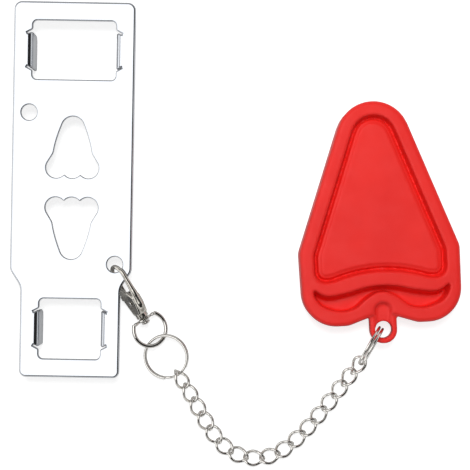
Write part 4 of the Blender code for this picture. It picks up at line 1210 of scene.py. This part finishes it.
def handle_shape(settings):
    """The moulded wedge: rim, recessed panel in its groove, curved pocket, and a tab with an eye."""
    top = settings.thickness
    tab_top = top - TAB_DROP
    wedge = slab(handle_corners(settings), 0.0, top, BACK_CHAMFER, settings.edge_round, HANDLE_EDGE_STEPS)
    end = TAB_RADIUS * ROUND_END_SHARE
    tab = slab([
        (-TAB_RADIUS, TAB_ROOT, 0.0), (-TAB_RADIUS, -TAB_RADIUS, end), (TAB_RADIUS, -TAB_RADIUS, end),
        (TAB_RADIUS, TAB_ROOT, 0.0),
    ], tab_top - TAB_THICKNESS, tab_top, TAB_EDGE_RADIUS, TAB_EDGE_RADIUS)
    recess = sunk(recess_corners(settings), top, [
        (RECESS_WALL, -RECESS_DEPTH), (GROOVE_WIDTH, 0.0), (LEDGE_STEP, LEDGE_RISE), (LEDGE_WIDTH, 0.0),
        (PANEL_STEP, PANEL_RISE),
    ])
    pocket = sunk(pocket_corners(settings), top, [(POCKET_WALL, -POCKET_DEPTH)])
    floor = [v for v in pocket.verts if v.co.z < top - POCKET_DEPTH + SAME_PLACE]
    bmesh.ops.translate(pocket, vec=(0.0, -POCKET_SHIFT, 0.0), verts=floor)
    width = CHANNEL_HALF_WIDTH + CHANNEL_WALL
    round_end = width * ROUND_END_SHARE
    channel = sunk([(-width, 0.0, 0.0), (width, 0.0, 0.0), (width, CHANNEL_TOP, round_end),
                    (-width, CHANNEL_TOP, round_end)], top, [(CHANNEL_WALL * 2, -TAB_DROP - CHANNEL_DEPTH)])
    eye = rod(EYE_DIAMETER, -OVERRUN, top + OVERRUN, sides=EYE_SIDES)
    return softened("wedge_moulding", wedge, [
        (JOIN, tab), (CUT, recess), (CUT, pocket), (CUT, channel), (CUT, eye),
    ], settings.voxel, MOULDING_SMOOTHING)


class DOORLOCK_OT_plate(bpy.types.Operator):
    """Build the steel plate with its windows, holes and four bent claws"""

    bl_idname = "doorlock.plate"
    bl_label = "Build Plate"

    def execute(self, context):
        settings = context.scene.doorlock_plate
        steel = polished_stainless(settings.colour)
        plate = finish_piece("plate_sheet", plate_shape(settings), plate_placing(), steel, "plate",
                             "door_plate")
        plate.modifiers.new("even_normals", "WEIGHTED_NORMAL").weight = SHEET_NORMAL_WEIGHT
        return {"FINISHED"}


class DOORLOCK_OT_clasp(bpy.types.Operator):
    """Build the clasp: its cast body and hook, the gate, the gate's pin and the spring behind the gate"""

    bl_idname = "doorlock.clasp"
    bl_label = "Build Clasp"

    def execute(self, context):
        settings = context.scene.doorlock_clasp
        casting = plated_casting(settings.colour)
        nickel = bright_nickel(context.scene.doorlock_rings.colour)
        place = clasp_placing()
        pivot = place @ Matrix.Translation((*GATE_PIVOT, 0.0))
        finish_piece("clasp_body", clasp_shape(settings), place, casting, "clasp", "clasp_hook")
        finish_piece("gate_lever", lever_shape(settings), pivot, casting, "gate", "clasp_gate")
        finish_piece("gate_rivet", pin_shape(settings), pivot, nickel, "clasp", "gate_pin",
                     SHARP_ANGLE)
        coil_place = place @ Matrix.Translation((SPRING_STATION, 0.0, 0.0))
        spring = finish_piece("gate_coil", spring_shape(), coil_place, drawn_spring_steel(), "clasp",
                              "gate_spring", SHARP_ANGLE)
        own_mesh(spring)
        return {"FINISHED"}


class DOORLOCK_OT_rings(bpy.types.Operator):
    """Build the swivel ring, its rivet and the two split rings"""

    bl_idname = "doorlock.rings"
    bl_label = "Build Rings"

    def execute(self, context):
        settings = context.scene.doorlock_rings
        nickel = bright_nickel(settings.colour)
        voxel = context.scene.doorlock_clasp.voxel
        finish_piece("swivel_stud", stud_shape(), clasp_placing(), nickel, "clasp", "swivel_rivet",
                     SHARP_ANGLE)
        finish_piece("swivel_loop", swivel_shape(settings, voxel), swivel_placing(), nickel, "swivel",
                     "swivel_ring")
        for name, radius, place, node in (
                ("clasp_split_ring", settings.key_ring_radius, key_ring_placing(settings), "key_ring"),
                ("handle_split_ring", settings.handle_ring_radius, handle_ring_placing(), "handle_ring")):
            finish_piece(name, split_ring_shape(settings, radius), place, nickel, node, node,
                         SHARP_ANGLE)
        return {"FINISHED"}


class DOORLOCK_OT_chain(bpy.types.Operator):
    """Build the chain's twisted oval links"""

    bl_idname = "doorlock.chain"
    bl_label = "Build Chain"

    def execute(self, context):
        settings = context.scene.doorlock_rings
        nickel = bright_nickel(settings.colour)
        contacts = chain_contacts()
        for number in range(LINK_COUNT):
            label = f"{number + 1:02d}"
            finish_piece(f"oval_link_{label}", link_shape(settings), link_placing(contacts, number),
                         nickel, f"link_{label}", f"chain_link_{label}")
        return {"FINISHED"}


class DOORLOCK_OT_handle(bpy.types.Operator):
    """Build the moulded wedge handle with its panel, pocket and eye"""

    bl_idname = "doorlock.handle"
    bl_label = "Build Handle"

    def execute(self, context):
        settings = context.scene.doorlock_handle
        plastic = moulded_plastic(settings.colour, settings.deep_colour)
        finish_piece("wedge_handle", handle_shape(settings), handle_placing(), plastic, "handle", "handle")
        return {"FINISHED"}


def leaning(tree, direction, lean, edge, levels, easing):
    """A level that changes with the direction, across the edge of something that hangs at a lean."""
    near = add_node(tree, "ShaderNodeVectorMath", {0: direction, 1: lean}, operation="DOT_PRODUCT")
    return add_node(tree, "ShaderNodeMapRange", {"Value": near.outputs["Value"], "From Min": edge[0],
                                                 "From Max": edge[1], "To Min": levels[0],
                                                 "To Max": levels[1]}, interpolation_type=easing).outputs[0]


def studio_world(settings):
    """White to the camera, a plain level on the object, and in metal a softbox over a darker room."""
    world = bpy.data.worlds.new("studio")
    world.use_nodes = True
    tree = world.node_tree
    tree.nodes.clear()
    direction = add_node(tree, "ShaderNodeTexCoord").outputs["Generated"]
    # The softbox leans a little to the left and away, over the plate
    softbox = leaning(tree, direction, SOFTBOX_LEAN, SOFTBOX_EDGE, (0.0, 1.0), "SMOOTHSTEP")
    # Below a dark ceiling the walls are pale, and less so beyond the picture's head
    wall = leaning(tree, direction, (0.0, 1.0, 0.0), FAR_WALL_EDGE, (1.0, FAR_WALL_SHARE), "SMOOTHSTEP")
    low = leaning(tree, direction, CEILING_LEAN, CEILING_EDGE, (1.0, 0.0), "LINEAR")
    pale = add_node(tree, "ShaderNodeMath", {0: wall, 1: settings.wall_level}, operation="MULTIPLY")
    room = add_node(tree, "ShaderNodeMath", {0: pale.outputs[0], 1: low, 2: CEILING_LEVEL},
                    operation="MULTIPLY_ADD")
    rays = add_node(tree, "ShaderNodeLightPath").outputs
    mirrored = add_node(tree, "ShaderNodeMix", {0: softbox, 2: room.outputs[0], 3: settings.softbox_level},
                        data_type="FLOAT")
    shown = add_node(tree, "ShaderNodeMix", {0: rays["Is Glossy Ray"], 2: settings.light_level,
                                             3: mirrored.outputs[0]}, data_type="FLOAT")
    seen = add_node(tree, "ShaderNodeMix", {0: rays["Is Camera Ray"], 2: shown.outputs[0], 3: 1.0},
                    data_type="FLOAT")
    background = add_node(tree, "ShaderNodeBackground", {"Color": (1.0, 1.0, 1.0, 1.0),
                                                         "Strength": seen.outputs[0]})
    add_node(tree, "ShaderNodeOutputWorld", {"Surface": background.outputs[0]})
    return world


class DOORLOCK_OT_stage(bpy.types.Operator):
    """Set up the pale floor, the soft studio light and the camera straight above"""

    bl_idname = "doorlock.stage"
    bl_label = "Set Up Stage"

    def execute(self, context):
        scene = context.scene
        settings = scene.doorlock_stage
        bm = bmesh.new()
        bmesh.ops.create_circle(bm, cap_ends=True, segments=FLOOR_SIDES, radius=settings.floor_radius)
        floor = new_object("floor", bm)
        floor.data.materials.append(studio_paper(settings.floor_colour))
        scene.world = studio_world(settings)

        lamp = bpy.data.lights.new("key_light", "AREA")
        lamp.shape = "DISK"
        lamp.size = LAMP_DIAMETER
        lamp.energy = LAMP_WATTS
        key = bpy.data.objects.new("key_light", lamp)
        key.location = LAMP_PLACE
        key.rotation_euler = (-key.location).to_track_quat("-Z", "Y").to_euler()
        key.visible_glossy = False
        key.visible_camera = False
        scene.collection.objects.link(key)

        lens = bpy.data.cameras.new("camera")
        lens.angle = 2 * math.atan(settings.view_width / 2 / settings.camera_height)
        camera = bpy.data.objects.new("camera", lens)
        camera.location = (*CAMERA_PLACE, settings.camera_height)
        scene.collection.objects.link(camera)
        scene.camera = camera
        scene.view_settings.view_transform = "Standard"
        return {"FINISHED"}


BUILDERS = (DOORLOCK_OT_plate, DOORLOCK_OT_clasp, DOORLOCK_OT_rings, DOORLOCK_OT_chain, DOORLOCK_OT_handle,
            DOORLOCK_OT_stage)
SETTINGS = {
    "doorlock_plate": PlateSettings,
    "doorlock_clasp": ClaspSettings,
    "doorlock_rings": RingSettings,
    "doorlock_handle": HandleSettings,
    "doorlock_stage": StageSettings,
}


class DOORLOCK_PT_panel(bpy.types.Panel):
    """The lock's builders and their settings"""

    bl_idname = "DOORLOCK_PT_panel"
    bl_label = "Door Lock"
    bl_space_type = "VIEW_3D"
    bl_region_type = "UI"
    bl_category = "Door Lock"

    def draw(self, context):
        for builder in BUILDERS:
            self.layout.operator(builder.bl_idname)
        for name, group in SETTINGS.items():
            column = self.layout.column(align=True)
            column.label(text=group.__doc__)
            for prop in group.__annotations__:
                column.prop(getattr(context.scene, name), prop)


def register():
    for group in SETTINGS.values():
        bpy.utils.register_class(group)
    for name, group in SETTINGS.items():
        setattr(bpy.types.Scene, name, PointerProperty(type=group))
    for builder in BUILDERS:
        bpy.utils.register_class(builder)
    bpy.utils.register_class(DOORLOCK_PT_panel)


def unregister():
    bpy.utils.unregister_class(DOORLOCK_PT_panel)
    for builder in reversed(BUILDERS):
        bpy.utils.unregister_class(builder)
    for name in SETTINGS:
        delattr(bpy.types.Scene, name)
    for group in SETTINGS.values():
        bpy.utils.unregister_class(group)


def main():
    register()
    bpy.ops.doorlock.plate()
    bpy.ops.doorlock.clasp()
    bpy.ops.doorlock.rings()
    bpy.ops.doorlock.chain()
    bpy.ops.doorlock.handle()
    bpy.ops.doorlock.stage()


if __name__ == "__main__":
    main()
